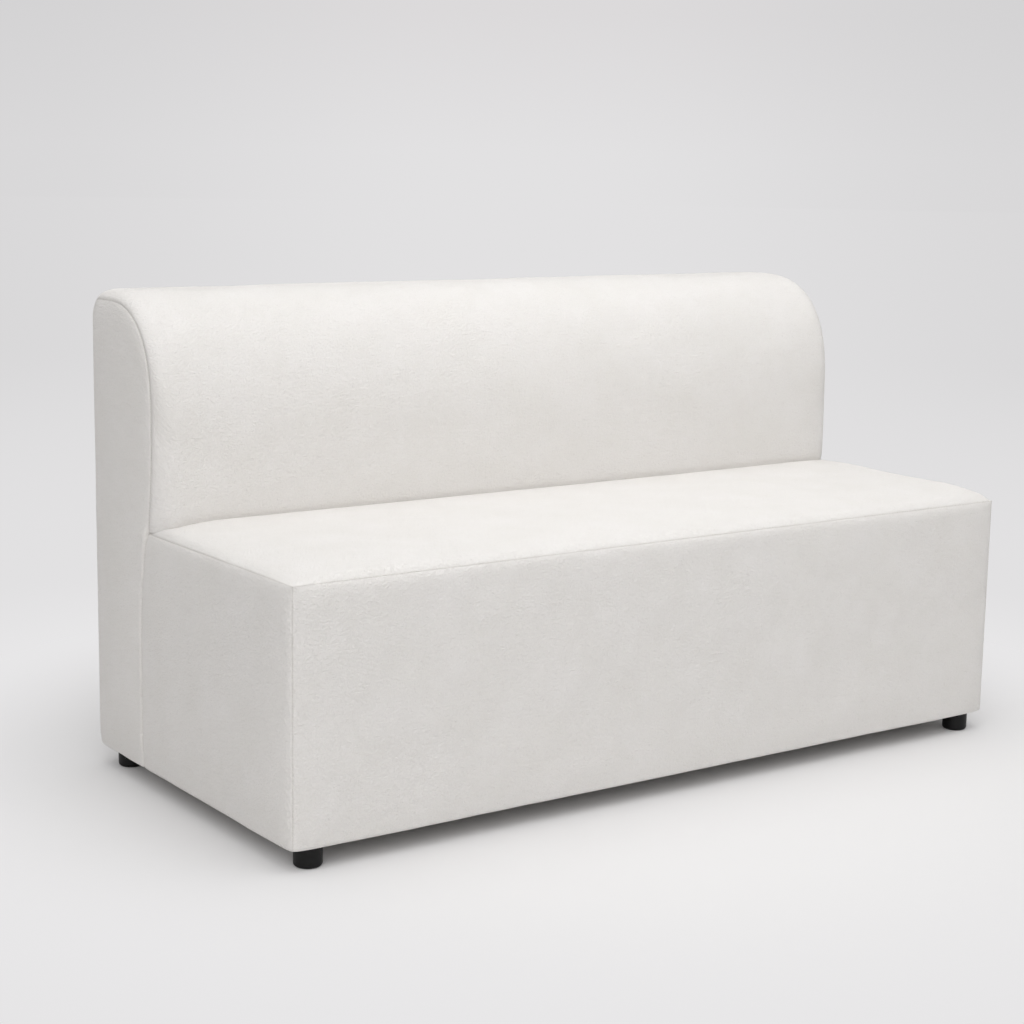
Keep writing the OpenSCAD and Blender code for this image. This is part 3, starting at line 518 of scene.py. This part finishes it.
def pressed_out(outer, inner, held_rows, most):
    """The way the filling presses a panel out between its seams.

    Cloth is simulated on a coarse copy whose edges are held, capped, and carried over to the fine grid.
    """
    down = run_length(np.linalg.norm(np.diff(outer, axis=0), axis=-1).mean(axis=1))
    over = run_length(np.linalg.norm(np.diff(outer, axis=1), axis=-1).mean(axis=0))
    rows, columns = spaced(down, SIM_GRID), spaced(over, SIM_GRID)
    coarse = outer[np.ix_(rows, columns)]
    m, n, _ = coarse.shape
    index = np.arange(m * n).reshape(m, n)
    faces = cells(index)
    points = coarse.reshape(-1, 3)
    first, second, last = points[faces[:, 0]], points[faces[:, 1]], points[faces[:, 3]]
    ahead_of = np.cross(second - first, last - first)
    outward = (outer - inner)[np.ix_(rows, columns)].reshape(-1, 3)[faces[:, 0]]
    if (ahead_of * outward).sum() < 0:
        faces = faces[:, ::-1]
    mesh = bpy.data.meshes.new("pressed")
    mesh.from_pydata(points.tolist(), [], faces.tolist())
    body = placed_object("pressed", mesh)
    held = index[down[rows] <= held_rows].ravel().tolist() + index[-1].tolist()
    held += index[:, 0].tolist() + index[:, -1].tolist()
    body.vertex_groups.new(name="seam_shaded").add(sorted(set(held)), 1.0, "REPLACE")
    cloth = body.modifiers.new("cloth", "CLOTH")
    weave = cloth.settings
    weave.quality, weave.mass, weave.air_damping = 6, 0.3, 2.0
    weave.tension_stiffness = weave.compression_stiffness = 60
    weave.shear_stiffness, weave.bending_stiffness = 30, 0.5
    weave.vertex_group_mass = "seam_shaded"
    weave.use_pressure, weave.uniform_pressure_force = True, SIM_PRESSURE
    weave.effector_weights.gravity = 0
    cloth.collision_settings.use_collision = False
    cloth.point_cache.frame_start, cloth.point_cache.frame_end = 1, SIM_FRAMES
    for step in range(1, SIM_FRAMES + 1):
        bpy.context.scene.frame_set(step)
    solved = body.evaluated_get(bpy.context.evaluated_depsgraph_get()).to_mesh()
    after = np.empty(m * n * 3)
    solved.vertices.foreach_get("co", after)
    moved = (after.reshape(-1, 3) - points).reshape(m, n, 3)
    bpy.data.objects.remove(body)
    bpy.context.scene.frame_set(1)
    moved = moved * min(1.0, most / np.linalg.norm(moved, axis=-1).max())
    fine = eased_between(down, down[rows], moved)
    return eased_between(over, over[columns], fine.transpose(1, 0, 2)).transpose(1, 0, 2)


def panel(name, form, *nodes, flip_x=False, held_rows=None, most=SIM_MOST, firm=None):
    """A closed cloth panel between an outer and an inner grid of points, with its cloth map in metres."""
    outer, places, seam = mirrored(form(0)) if flip_x else form(0)
    inner = (mirrored(form(CLOTH)) if flip_x else form(CLOTH))[0]
    if held_rows is not None:
        moved = pressed_out(outer, inner, held_rows, most) * (firm(outer) if firm else 1)
        outer, inner = outer + moved, inner + moved
    m, n, _ = outer.shape
    index = np.arange(m * n).reshape(m, n)
    front = cells(index)
    ring = np.concatenate([index[0, :-1], index[:-1, -1], index[-1, :0:-1], index[:0:-1, 0]])
    after = np.roll(ring, -1)
    rim = np.stack([after, ring, ring + m * n, after + m * n], -1)
    faces = np.concatenate([front, front[:, ::-1] + m * n, rim])
    points = np.concatenate([outer.reshape(-1, 3), inner.reshape(-1, 3)])
    corners = points[faces]
    volume = np.einsum("ij,ij->i", corners[:, 0], np.cross(corners[:, 1], corners[:, 2])).sum()
    volume += np.einsum("ij,ij->i", corners[:, 0], np.cross(corners[:, 2], corners[:, 3])).sum()
    if volume < 0:
        faces = faces[:, ::-1]
    mesh = bpy.data.meshes.new(name)
    mesh.from_pydata(points.tolist(), [], faces.tolist())
    smooth = np.ones(len(faces), dtype=bool)
    smooth[-len(rim):] = False
    mesh.polygons.foreach_set("use_smooth", smooth)
    cloth_map = mesh.uv_layers.new(name="cloth")
    both = np.concatenate([places.reshape(-1, 2), places.reshape(-1, 2)])
    loops = np.empty(len(mesh.loops), dtype=np.int32)
    mesh.loops.foreach_get("vertex_index", loops)
    cloth_map.data.foreach_set("uv", both[loops].astype(np.float32).ravel())
    away = mesh.attributes.new("from_seam", "FLOAT", "POINT")
    away.data.foreach_set("value", np.concatenate([seam.ravel(), seam.ravel()]).astype(np.float32))
    mesh.update()
    piece = placed_object(name, mesh)
    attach(piece, "root")
    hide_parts(*nodes)
    return piece, outer, inner


# Materials
def linear(code):
    """The linear colour of an sRGB hex value."""
    parts = [int(code[i:i + 2], 16) / 255 for i in (1, 3, 5)]
    return tuple(p / 12.92 if p <= 0.04045 else ((p + 0.055) / 1.055) ** 2.4 for p in parts) + (1.0,)


def add(tree, kind, wires=None, **settings):
    """Adds a node: wires gives its inputs a value or another's output, settings are its own options."""
    made = tree.nodes.new(kind)
    for option, value in settings.items():
        setattr(made, option, value)
    for socket, value in (wires or {}).items():
        if isinstance(value, bpy.types.NodeSocket):
            tree.links.new(value, made.inputs[socket])
        else:
            made.inputs[socket].default_value = value
    return made


def new_material(name):
    made = bpy.data.materials.new(name)
    made.use_nodes = True
    made.node_tree.nodes.clear()
    return made, made.node_tree


def finish_material(tree, shader_wires):
    shader = add(tree, "ShaderNodeBsdfPrincipled", shader_wires)
    add(tree, "ShaderNodeOutputMaterial", {"Surface": shader.outputs[0]})


def brushed_upholstery():
    """Off-white polyester with a brushed face: matt, softly clouded, with fine flecks of shade."""
    made, tree = new_material("brushed_upholstery")
    cloth = add(tree, "ShaderNodeUVMap", uv_map="cloth").outputs[0]
    # Clouds of 60 to 200 mm where the pile lies another way
    clouds = add(tree, "ShaderNodeTexNoise", {"Vector": cloth, "Scale": 9.0, "Detail": 4.0,
                                              "Roughness": 0.62})
    patches = add(tree, "ShaderNodeMapRange", {"Value": clouds.outputs[0], "From Min": 0.34,
                                               "From Max": 0.66})
    # The pile's grain is under 1 mm; it is drawn at 2 to 3 mm so that it shows
    grain = add(tree, "ShaderNodeTexNoise", {"Vector": cloth, "Scale": 400.0, "Detail": 2.0,
                                             "Roughness": 0.7})
    # Tufts of 4 to 6 mm that lean along the length of the cloth
    lean = add(tree, "ShaderNodeMapping", {"Vector": cloth, "Scale": (0.85, 1.0, 1.0)})
    tufts = add(tree, "ShaderNodeTexNoise", {"Vector": lean.outputs[0], "Scale": 215.0, "Detail": 4.0,
                                             "Roughness": 0.72, "Distortion": 0.8})
    few = add(tree, "ShaderNodeMapRange", {"Value": tufts.outputs[0], "From Min": 0.58, "From Max": 0.74,
                                           "To Min": 0.0, "To Max": 0.5})
    tone = add(tree, "ShaderNodeMix", {"Factor": patches.outputs[0], 6: linear("#F5F2EE"),
                                       7: linear("#F8F5F2")}, data_type="RGBA")
    level = add(tree, "ShaderNodeMapRange", {"Value": grain.outputs[0], "From Min": 0.3, "From Max": 0.7,
                                             "To Min": 0.965, "To Max": 1.02})
    grained = add(tree, "ShaderNodeMix", {"Factor": 1.0, 6: tone.outputs[2], 7: level.outputs[0]},
                  data_type="RGBA", blend_type="MULTIPLY")
    flecked = add(tree, "ShaderNodeMix", {"Factor": few.outputs[0], 6: grained.outputs[2],
                                          7: linear("#E2DEDA")}, data_type="RGBA")
    # Painted shade: the colour darkens right beside a seam, where its two edges shade each other
    away = add(tree, "ShaderNodeAttribute", attribute_name="from_seam").outputs["Fac"]
    shade = add(tree, "ShaderNodeMapRange", {"Value": away, "From Min": 0.0004, "From Max": 0.0020,
                                             "To Min": 0.06, "To Max": 0.0})
    seam_shaded = add(tree, "ShaderNodeMix", {"Factor": shade.outputs[0], 6: flecked.outputs[2],
                                       7: linear("#B9B4AF")}, data_type="RGBA")
    heights = add(tree, "ShaderNodeMath", {0: grain.outputs[0], 1: 0.4, 2: tufts.outputs[0]},
                  operation="MULTIPLY_ADD")
    soft = add(tree, "ShaderNodeBump", {"Height": heights.outputs[0], "Distance": 0.0043, "Strength": 0.78})
    finish_material(tree, {"Base Color": seam_shaded.outputs[2], "Roughness": 0.94, "IOR": 1.45,
                           "Specular IOR Level": 0.2, "Sheen Weight": 0.12, "Sheen Roughness": 0.5,
                           "Normal": soft.outputs[0]})
    return made


def grainy(name, low, high, scale, stretch, roughness, bump, metallic=0.0, specular=0.5):
    """A material whose tone runs between two colours along a stretched noise, which is its relief too."""
    made, tree = new_material(name)
    place = add(tree, "ShaderNodeTexCoord").outputs["Object"]
    along = add(tree, "ShaderNodeMapping", {"Vector": place, "Scale": stretch})
    noise = add(tree, "ShaderNodeTexNoise", {"Vector": along.outputs[0], "Scale": scale, "Detail": 5.0,
                                             "Roughness": 0.6, "Distortion": 0.3})
    tone = add(tree, "ShaderNodeMix", {"Factor": noise.outputs[0], 6: linear(low), 7: linear(high)},
               data_type="RGBA")
    relief = add(tree, "ShaderNodeBump", {"Height": noise.outputs[0], "Distance": bump, "Strength": 0.5})
    finish_material(tree, {"Base Color": tone.outputs[2], "Roughness": roughness, "Metallic": metallic,
                           "Specular IOR Level": specular, "Normal": relief.outputs[0]})
    return made


upholstery = brushed_upholstery()
# Spun lining: grey-white, plain and matt
lining = grainy("spunbond_lining", "#CFCBC6", "#DEDBD7", 300.0, (1, 1, 1), 0.9, 0.0002, specular=0.2)
# Pale non-woven dust cloth: matt, with a pressed dimple pattern
dust_cloth = grainy("pale_dust_cloth", "#C6C4C1", "#D6D4D1", 500.0, (1, 1, 1), 0.9, 0.0002, specular=0.2)
# Polyester wadding: white, fluffy and matt
wadding = grainy("polyester_wadding", "#E6E6E4", "#F6F6F5", 120.0, (1, 1, 1), 0.95, 0.001, specular=0.1)
# Cut polyurethane foam: pale yellow with open cells of about 1 mm
foam = grainy("cut_foam", "#E3D7A9", "#F0E7C2", 700.0, (1, 1, 1), 0.95, 0.0004, specular=0.1)
# Woven rubber webbing: dark, ribbed along its length
webbing = grainy("rubber_webbing", "#2A2725", "#45403B", 350.0, (1, 0.3, 1), 0.8, 0.0003, specular=0.3)
# Planed softwood: pale, with straight grain along the length
softwood = grainy("planed_softwood", "#C9A26B", "#E4C795", 60.0, (0.08, 1, 1), 0.6, 0.0002)
# Sanded plywood: warm, with a faint face grain
plywood = grainy("sanded_plywood", "#B98D5B", "#D3AD7C", 45.0, (1, 1, 0.1), 0.6, 0.0002)
# Hardboard: brown, even and slightly polished by its press
hardboard = grainy("pressed_hardboard", "#7A5334", "#94683F", 250.0, (1, 1, 1), 0.5, 0.0001)
# Moulded polypropylene feet: black, satin, with a very fine moulding grain
foot_plastic = grainy("moulded_black_plastic", "#090909", "#0F0F0F", 900.0, (1, 1, 1), 0.5, 0.0001,
                      specular=0.25)
# Zinc-plated steel: bright grey, with a faint drawn grain
zinc_steel = grainy("zinc_plated_steel", "#B9BCC0", "#CDD0D3", 200.0, (0.2, 1, 1), 0.32, 0.00005,
                    metallic=1.0)
# Bonded polyester thread, a shade darker than the cloth
thread = grainy("polyester_thread", "#D5D0CA", "#E2DED9", 900.0, (1, 1, 1), 0.7, 0.0001, specular=0.3)

SLOTS = {"upholstery": upholstery, "lining": lining, "wadding": wadding, "foam": foam, "webbing": webbing,
         "dust_cloth": dust_cloth, "softwood": softwood, "plywood": plywood, "hardboard": hardboard,
         "foot_plastic": foot_plastic, "steel": zinc_steel}


# Cloth panels: their form, the node that each replaces and the piece under each
HEM_PATH = HEM + FOLD
pressed = {"held_rows": HEM_PATH}
pressed_face = {"held_rows": FACE_HELD, "most": FACE_MOST, "firm": firm_crest}
FORMS = {
    "seat_panel_top": (seat_top, "seat_cover_top", "seat_wadding_top", {"held_rows": 0}),
    "seat_panel_front": (seat_front, "seat_cover_front", "seat_wadding_front", pressed),
    "seat_panel_right": (seat_end, "seat_cover_right", "seat_wadding_right", pressed),
    "seat_panel_left": (seat_end, "seat_cover_left", "seat_wadding_left", {**pressed, "flip_x": True}),
    "seat_lining_rear": (seat_lining, "seat_cover_rear", "seat_wadding_rear", {}),
    "back_panel_face": (back_wrap, "back_cover_face", "back_foam_face", pressed_face),
    "back_panel_right": (back_end, "back_cover_right", "back_pad_right", pressed),
    "back_panel_left": (back_end, "back_cover_left", "back_pad_left", {**pressed, "flip_x": True}),
    "back_panel_rear": (back_rear, "back_cover_rear", "back_wadding_rear", pressed),
}
panels = {name: panel(name, form, cover, **how) for name, (form, cover, under, how) in FORMS.items()}
for name, (piece, outer, inner) in panels.items():
    plain = name == "seat_lining_rear"
    piece.data.materials.append(lining if plain else upholstery)


# Dust covers under both modules, with their edges turned in and a little sag between the rails
DUST, DUST_INSET, DUST_SAG, DUST_UNEVEN = 0.0008, 0.012, 0.0025, 0.0006
RAIL_EDGE, SAG_BAND, UNEVEN_BAND = 0.065, 0.10, 0.05
TURNED, TURNED_W, TURNED_BAND = 0.0004, 0.010, 0.002


def dust_sheet(y_low, y_high):
    def form(deep):
        q, v = ACROSS * (HALF_L - DUST_INSET) / HALF_L, graded(y_high - y_low, first=0.002) + y_low
        v, q = rows_and_columns(v, q)
        edge = np.minimum(HALF_L - DUST_INSET - np.abs(q), np.minimum(v - y_low, y_high - v))
        uneven = waves(q, v, 19, 0.2, DUST_UNEVEN) * ease((edge - RAIL_EDGE) / UNEVEN_BAND)
        sag = DUST_SAG * ease((edge - RAIL_EDGE) / SAG_BAND) + uneven
        turned = TURNED * (1 - ease((edge - TURNED_W) / TURNED_BAND))
        z = BASE - DUST + deep * DUST / CLOTH - sag - turned * (1 - deep / CLOTH)
        return surface((q, v, z), (q, v), 1.0)
    return form


dust_spans = {"seat": (DUST_INSET - HALF_D, JOINT_Y - JOINT_GAP - DUST_INSET),
              "back": (JOINT_Y + DUST_INSET, HALF_D - DUST_INSET)}
for module, span in dust_spans.items():
    piece, outer, inner = panel(module + "_dust_sheet", dust_sheet(*span), module + "_dust_cover")
    piece.data.materials.append(dust_cloth)


# Stitches and staples: a short rod at every step along a line
def rods_along(name, form, material):
    tree = bpy.data.node_groups.new(name, "GeometryNodeTree")
    sockets = {}
    tree.interface.new_socket("Geometry", in_out="INPUT", socket_type="NodeSocketGeometry")
    for label, kind in (("Pitch", "Float"), ("Length", "Float"), ("Thickness", "Float"), ("Turn", "Float"),
                        ("Seed", "Int")):
        made = tree.interface.new_socket(label, in_out="INPUT", socket_type="NodeSocket" + kind)
        sockets[label] = made.identifier
    tree.interface.new_socket("Geometry", in_out="OUTPUT", socket_type="NodeSocketGeometry")
    given = add(tree, "NodeGroupInput").outputs
    line = add(tree, "GeometryNodeMeshToCurve", {"Mesh": given["Geometry"]})
    steps = add(tree, "GeometryNodeResampleCurve", {"Curve": line.outputs[0], "Length": given["Pitch"]},
                mode="LENGTH")
    half = add(tree, "ShaderNodeMath", {0: given["Thickness"], 1: 0.5}, operation="MULTIPLY")
    if form == "thread":
        rod = add(tree, "GeometryNodeMeshUVSphere", {"Segments": 6, "Rings": 4, "Radius": 1.0})
        long = add(tree, "ShaderNodeMath", {0: given["Length"], 1: 0.5}, operation="MULTIPLY")
        size = add(tree, "ShaderNodeCombineXYZ", {0: half.outputs[0], 1: half.outputs[0],
                                                  2: long.outputs[0]})
    else:
        rod = add(tree, "GeometryNodeMeshCylinder", {"Vertices": 8, "Radius": half.outputs[0],
                                                     "Depth": given["Length"]})
        size = add(tree, "ShaderNodeCombineXYZ", {0: 1.0, 1: 1.0, 2: 1.0})
    tangent = add(tree, "GeometryNodeInputTangent")
    facing = add(tree, "FunctionNodeAlignRotationToVector", {"Vector": tangent.outputs[0]}, axis="Z")
    less = add(tree, "ShaderNodeMath", {0: given["Turn"], 1: -1.0}, operation="MULTIPLY")
    chance = add(tree, "FunctionNodeRandomValue", data_type="FLOAT")
    tree.links.new(less.outputs[0], chance.inputs[2])
    tree.links.new(given["Turn"], chance.inputs[3])
    tree.links.new(given["Seed"], chance.inputs["Seed"])
    tilt = add(tree, "FunctionNodeEulerToRotation")
    lean = add(tree, "ShaderNodeCombineXYZ", {0: chance.outputs[1], 1: 0.0, 2: 0.0})
    tree.links.new(lean.outputs[0], tilt.inputs[0])
    turned = add(tree, "FunctionNodeRotateRotation", {"Rotation": facing.outputs[0],
                                                      "Rotate By": tilt.outputs[0]},
                 rotation_space="LOCAL")
    laid = add(tree, "GeometryNodeInstanceOnPoints", {"Points": steps.outputs[0],
                                                      "Instance": rod.outputs[0],
                                                      "Rotation": turned.outputs[0],
                                                      "Scale": size.outputs[0]})
    real = add(tree, "GeometryNodeRealizeInstances", {0: laid.outputs[0]})
    smooth = add(tree, "GeometryNodeSetShadeSmooth", {"Geometry": real.outputs[0]})
    finished = add(tree, "GeometryNodeSetMaterial", {"Geometry": smooth.outputs[0], "Material": material})
    add(tree, "NodeGroupOutput", {0: finished.outputs[0]})
    return tree, sockets


def lay_along(name, lines, made, material, slot, **sizes):
    """Lays the rods of one kind along all their lines, as one plain mesh."""
    tree, sockets = made
    points, edges = [], []
    for line in lines:
        start = len(points)
        points += [tuple(map(float, p)) for p in line]
        edges += [(k, k + 1) for k in range(start, len(points) - 1)]
    guide_mesh = bpy.data.meshes.new(name + "_guide")
    guide_mesh.from_pydata(points, edges, [])
    guide = placed_object(name + "_guide", guide_mesh)
    nodes = guide.modifiers.new("rods", "NODES")
    nodes.node_group = tree
    for label, value in sizes.items():
        nodes[sockets[label]] = value
    graph = bpy.context.evaluated_depsgraph_get()
    mesh = bpy.data.meshes.new_from_object(guide.evaluated_get(graph), depsgraph=graph)
    guide.modifiers.remove(nodes)
    bpy.data.objects.remove(guide)
    mesh.name = name
    if not mesh.materials:
        mesh.materials.append(material)
    piece = placed_object(name, mesh)
    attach(piece, "root")


def proud(name, choose, by=0.0004):
    """A seam's line, a little out from where its two panels meet."""
    outer, inner = panels[name][1:]
    line, under = choose(outer), choose(inner)
    away = line - under
    return line + by * away / np.linalg.norm(away, axis=-1, keepdims=True)


SEAT_ROW = FOLD_ROWS + len(back_path()[0]) - 2
seam_lines = [proud("seat_panel_top", lambda g: g[0])]
for side in (0, -1):
    seam_lines.append(proud("seat_panel_top", lambda g: g[:-2, side]))
    seam_lines.append(proud("seat_panel_front", lambda g: g[FOLD_ROWS:-1, side]))
    seam_lines.append(proud("back_panel_face", lambda g: g[SEAT_ROW:, side]))
    seam_lines.append(proud("back_panel_rear", lambda g: g[FOLD_ROWS:-1, side]))
seam_lines.append(proud("back_panel_face", lambda g: g[-1, 2:-2]))
lay_along("seam_stitches", seam_lines, rods_along("stitch_row", "thread", thread), thread, "upholstery",
          Pitch=0.0042, Length=0.0034, Thickness=0.0007, Turn=0.08, Seed=4)

STAPLE_IN, STAPLE_Z, LOOP_CORNER = 0.017, BASE - DUST - 0.0007, 0.03


def staple_loop(y_low, y_high):
    """Four straight rows of staples, which leave the corners free."""
    x, low, high = HALF_L - STAPLE_IN, y_low + STAPLE_IN - DUST_INSET, y_high - STAPLE_IN + DUST_INSET
    k = LOOP_CORNER
    corners = [(-x + k, low), (x - k, low), (x, low + k), (x, high - k), (x - k, high), (-x + k, high),
               (-x, high - k), (-x, low + k)]
    return [[(*corners[n], STAPLE_Z), (*corners[n + 1], STAPLE_Z)] for n in range(0, len(corners), 2)]


staple_lines = staple_loop(*dust_spans["seat"]) + staple_loop(*dust_spans["back"])
lay_along("hem_staples", staple_lines, rods_along("staple_row", "wire", zinc_steel), zinc_steel, "steel",
          Pitch=0.034, Length=0.0105, Thickness=0.0008, Turn=0.12, Seed=9)

# Finishes of the nodes that carry over, by the slots that the record names
for part in frame["record"]["subparts"]:
    holder = frame["nodes"].get(part["node"])
    if holder is not None and not holder.hide_render:
        for place in holder.material_slots:
            place.material = SLOTS[part["material_slot"]]

# Camera where the photograph was taken from
YAW, PITCH, ROLL = math.radians(35.416), math.radians(-10.002), math.radians(0.967)
CAMERA_PLACE, LENS = (-2.1663, -2.8905, 1.0658), 71.801
ahead = Vector((math.sin(YAW) * math.cos(PITCH), math.cos(YAW) * math.cos(PITCH), math.sin(PITCH)))
level = Vector((math.cos(YAW), -math.sin(YAW), 0))
upward = level.cross(ahead)
across = level * math.cos(ROLL) + upward * math.sin(ROLL)
upright = upward * math.cos(ROLL) - level * math.sin(ROLL)
camera_data = bpy.data.cameras.new("camera")
camera_data.lens, camera_data.sensor_width, camera_data.sensor_fit = LENS, 36.0, "HORIZONTAL"
camera = placed_object("camera", camera_data)
turn = Matrix((across, upright, -ahead)).transposed()
camera.matrix_world = Matrix.Translation(CAMERA_PLACE) @ turn.to_4x4()
bpy.context.scene.camera = camera
bpy.context.scene.view_settings.view_transform = "Standard"


# Floor and backdrop: the camera sees them in painted tones, a painted pool of light around the sofa and
# painted shade to the sides and up the wall, while they light the sofa softly
SET_ACROSS = (0.815, -0.579, 0.0)
BACKDROP = "#E2E1E2"
BACKDROP_SIDE_SHADE = "#D9D8D9"


def looked_at(tree):
    """1 where a ray comes from the camera, a mirror or a pane, and 0 where it carries light."""
    seen = add(tree, "ShaderNodeLightPath").outputs
    looked = add(tree, "ShaderNodeMath", {0: seen["Is Camera Ray"], 1: seen["Is Glossy Ray"]},
                 operation="ADD").outputs[0]
    return add(tree, "ShaderNodeMath", {0: looked, 1: seen["Is Transmission Ray"]}, operation="ADD",
               use_clamp=True).outputs[0]


def off_middle(tree, place, start, end):
    """How far to the side of the middle of the set a place or direction lies, from 0 to 1."""
    side = add(tree, "ShaderNodeVectorMath", {0: place, 1: SET_ACROSS}, operation="DOT_PRODUCT")
    side = add(tree, "ShaderNodeMath", {0: side.outputs["Value"]}, operation="ABSOLUTE").outputs[0]
    return add(tree, "ShaderNodeMapRange", {"Value": side, "From Min": start, "From Max": end},
               interpolation_type="SMOOTHSTEP").outputs[0]


def floor_paint():
    """Matt studio floor that fades away from the sofa into a pale painted glow: painted light near the
    sofa, painted shade towards the sides.
    """
    made, tree = new_material("studio_floor")
    place = add(tree, "ShaderNodeTexCoord").outputs["Object"]
    far = add(tree, "ShaderNodeVectorMath", {0: place}, operation="LENGTH").outputs["Value"]
    # How far from the sofa, in metres, the lit floor fades into the painted glow, the painted pool of light
    # near the sofa ends and the painted shade of the sides grows
    fade, near, deep = [add(tree, "ShaderNodeMapRange", {"Value": far, "From Min": start, "From Max": end},
                            interpolation_type="SMOOTHSTEP").outputs[0]
                        for start, end in ((0.68, 1.30), (1.1, 1.9), (1.6, 8.0))]
    fade = add(tree, "ShaderNodeMath", {0: fade, 1: looked_at(tree)}, operation="MULTIPLY").outputs[0]
    # Painted light: a brighter tone close to the sofa, shading off into the backdrop's tone
    near = add(tree, "ShaderNodeMix", {"Factor": near, 6: linear("#E8E7E8"), 7: linear(BACKDROP)},
               data_type="RGBA").outputs[2]
    # Painted shade: the glow darkens towards the sides of the set, more so far from the sofa
    away = add(tree, "ShaderNodeMath", {0: far, 1: 3.6}).outputs[0]
    wide = add(tree, "ShaderNodeCombineXYZ", {0: away, 1: away, 2: away}).outputs[0]
    outward = add(tree, "ShaderNodeVectorMath", {0: place, 1: wide}, operation="DIVIDE").outputs[0]
    side_shade = add(tree, "ShaderNodeMath", {0: off_middle(tree, outward, 0.03, 0.28), 1: deep},
                operation="MULTIPLY").outputs[0]
    tone = add(tree, "ShaderNodeMix", {"Factor": side_shade, 6: near, 7: linear(BACKDROP_SIDE_SHADE)},
               data_type="RGBA").outputs[2]
    paint = add(tree, "ShaderNodeBsdfDiffuse", {"Color": linear("#E7E6E6")}).outputs[0]
    glow = add(tree, "ShaderNodeEmission", {"Color": tone, "Strength": 1.0}).outputs[0]
    both = add(tree, "ShaderNodeMixShader", {0: fade, 1: paint, 2: glow})
    add(tree, "ShaderNodeOutputMaterial", {"Surface": both.outputs[0]})
    return made


FLOOR_RADIUS, FLOOR_SIDES = 40, 96
angles = [2 * math.pi * k / FLOOR_SIDES for k in range(FLOOR_SIDES)]
rim = [(FLOOR_RADIUS * math.cos(angle), FLOOR_RADIUS * math.sin(angle), 0) for angle in angles]
floor_mesh = bpy.data.meshes.new("floor")
floor_mesh.from_pydata(rim, [], [tuple(range(FLOOR_SIDES))])
floor = placed_object("floor", floor_mesh)
floor_mesh.materials.append(floor_paint())

# The sky lights the sofa more from above; looked at, it is the wall behind the set
SKY_LEVEL, WALL_CLIMB = 0.88, 0.065
world = bpy.data.worlds.new("studio")
bpy.context.scene.world = world
world.use_nodes = True
sky = world.node_tree
sky.nodes.clear()
way = add(sky, "ShaderNodeTexCoord").outputs["Generated"]
height = add(sky, "ShaderNodeSeparateXYZ", {0: way}).outputs[2]
# Painted shade: the wall darkens upwards from the horizon
climb = add(sky, "ShaderNodeMapRange", {"Value": height, "From Max": WALL_CLIMB}).outputs[0]
wall, edge = [add(sky, "ShaderNodeMix", {"Factor": climb, 6: linear(low), 7: linear(high)},
                  data_type="RGBA").outputs[2]
              for low, high in ((BACKDROP, "#DCDADB"), (BACKDROP_SIDE_SHADE, "#D4D3D4"))]
# Painted shade: the wall darkens towards the sides of the set
wall = add(sky, "ShaderNodeMix", {"Factor": off_middle(sky, way, 0.03, 0.25), 6: wall, 7: edge},
           data_type="RGBA").outputs[2]
above = add(sky, "ShaderNodeMath", {0: height, 1: 0.0}, operation="MAXIMUM").outputs[0]
soft_light = add(sky, "ShaderNodeMath", {0: above, 1: SKY_LEVEL}, operation="MULTIPLY").outputs[0]
shown = add(sky, "ShaderNodeMix", {"Factor": looked_at(sky), 6: soft_light, 7: wall},
            data_type="RGBA").outputs[2]
air = add(sky, "ShaderNodeBackground", {"Color": shown, "Strength": 1.0})
add(sky, "ShaderNodeOutputWorld", {"Surface": air.outputs[0]})


def lamp_at(name, kind, strength, place, aim, **settings):
    lamp = bpy.data.lights.new(name, kind)
    lamp.energy = strength
    for option, value in settings.items():
        setattr(lamp, option, value)
    holder = placed_object(name, lamp)
    holder.location = place
    holder.rotation_euler = (Vector(aim) - Vector(place)).to_track_quat("-Z", "Y").to_euler()
    holder.visible_camera = False


MIDDLE = (0, 0, 0.4)
lamp_at("overhead_softbox", "AREA", 20.5, (-0.1, -0.4, 3.0), MIDDLE, size=3.0)
lamp_at("seat_softbox", "AREA", 7.0, (0.2, -0.8, 2.0), (0.1, 0, 0.4), size=1.6)
lamp_at("left_softbox", "AREA", 13.6, (-2.4, -2.0, 1.8), MIDDLE, size=2.0)
lamp_at("front_left_light", "SUN", 0.46, (-1.5, -3.0, 2.4), (0, 0, 0), angle=math.radians(50))
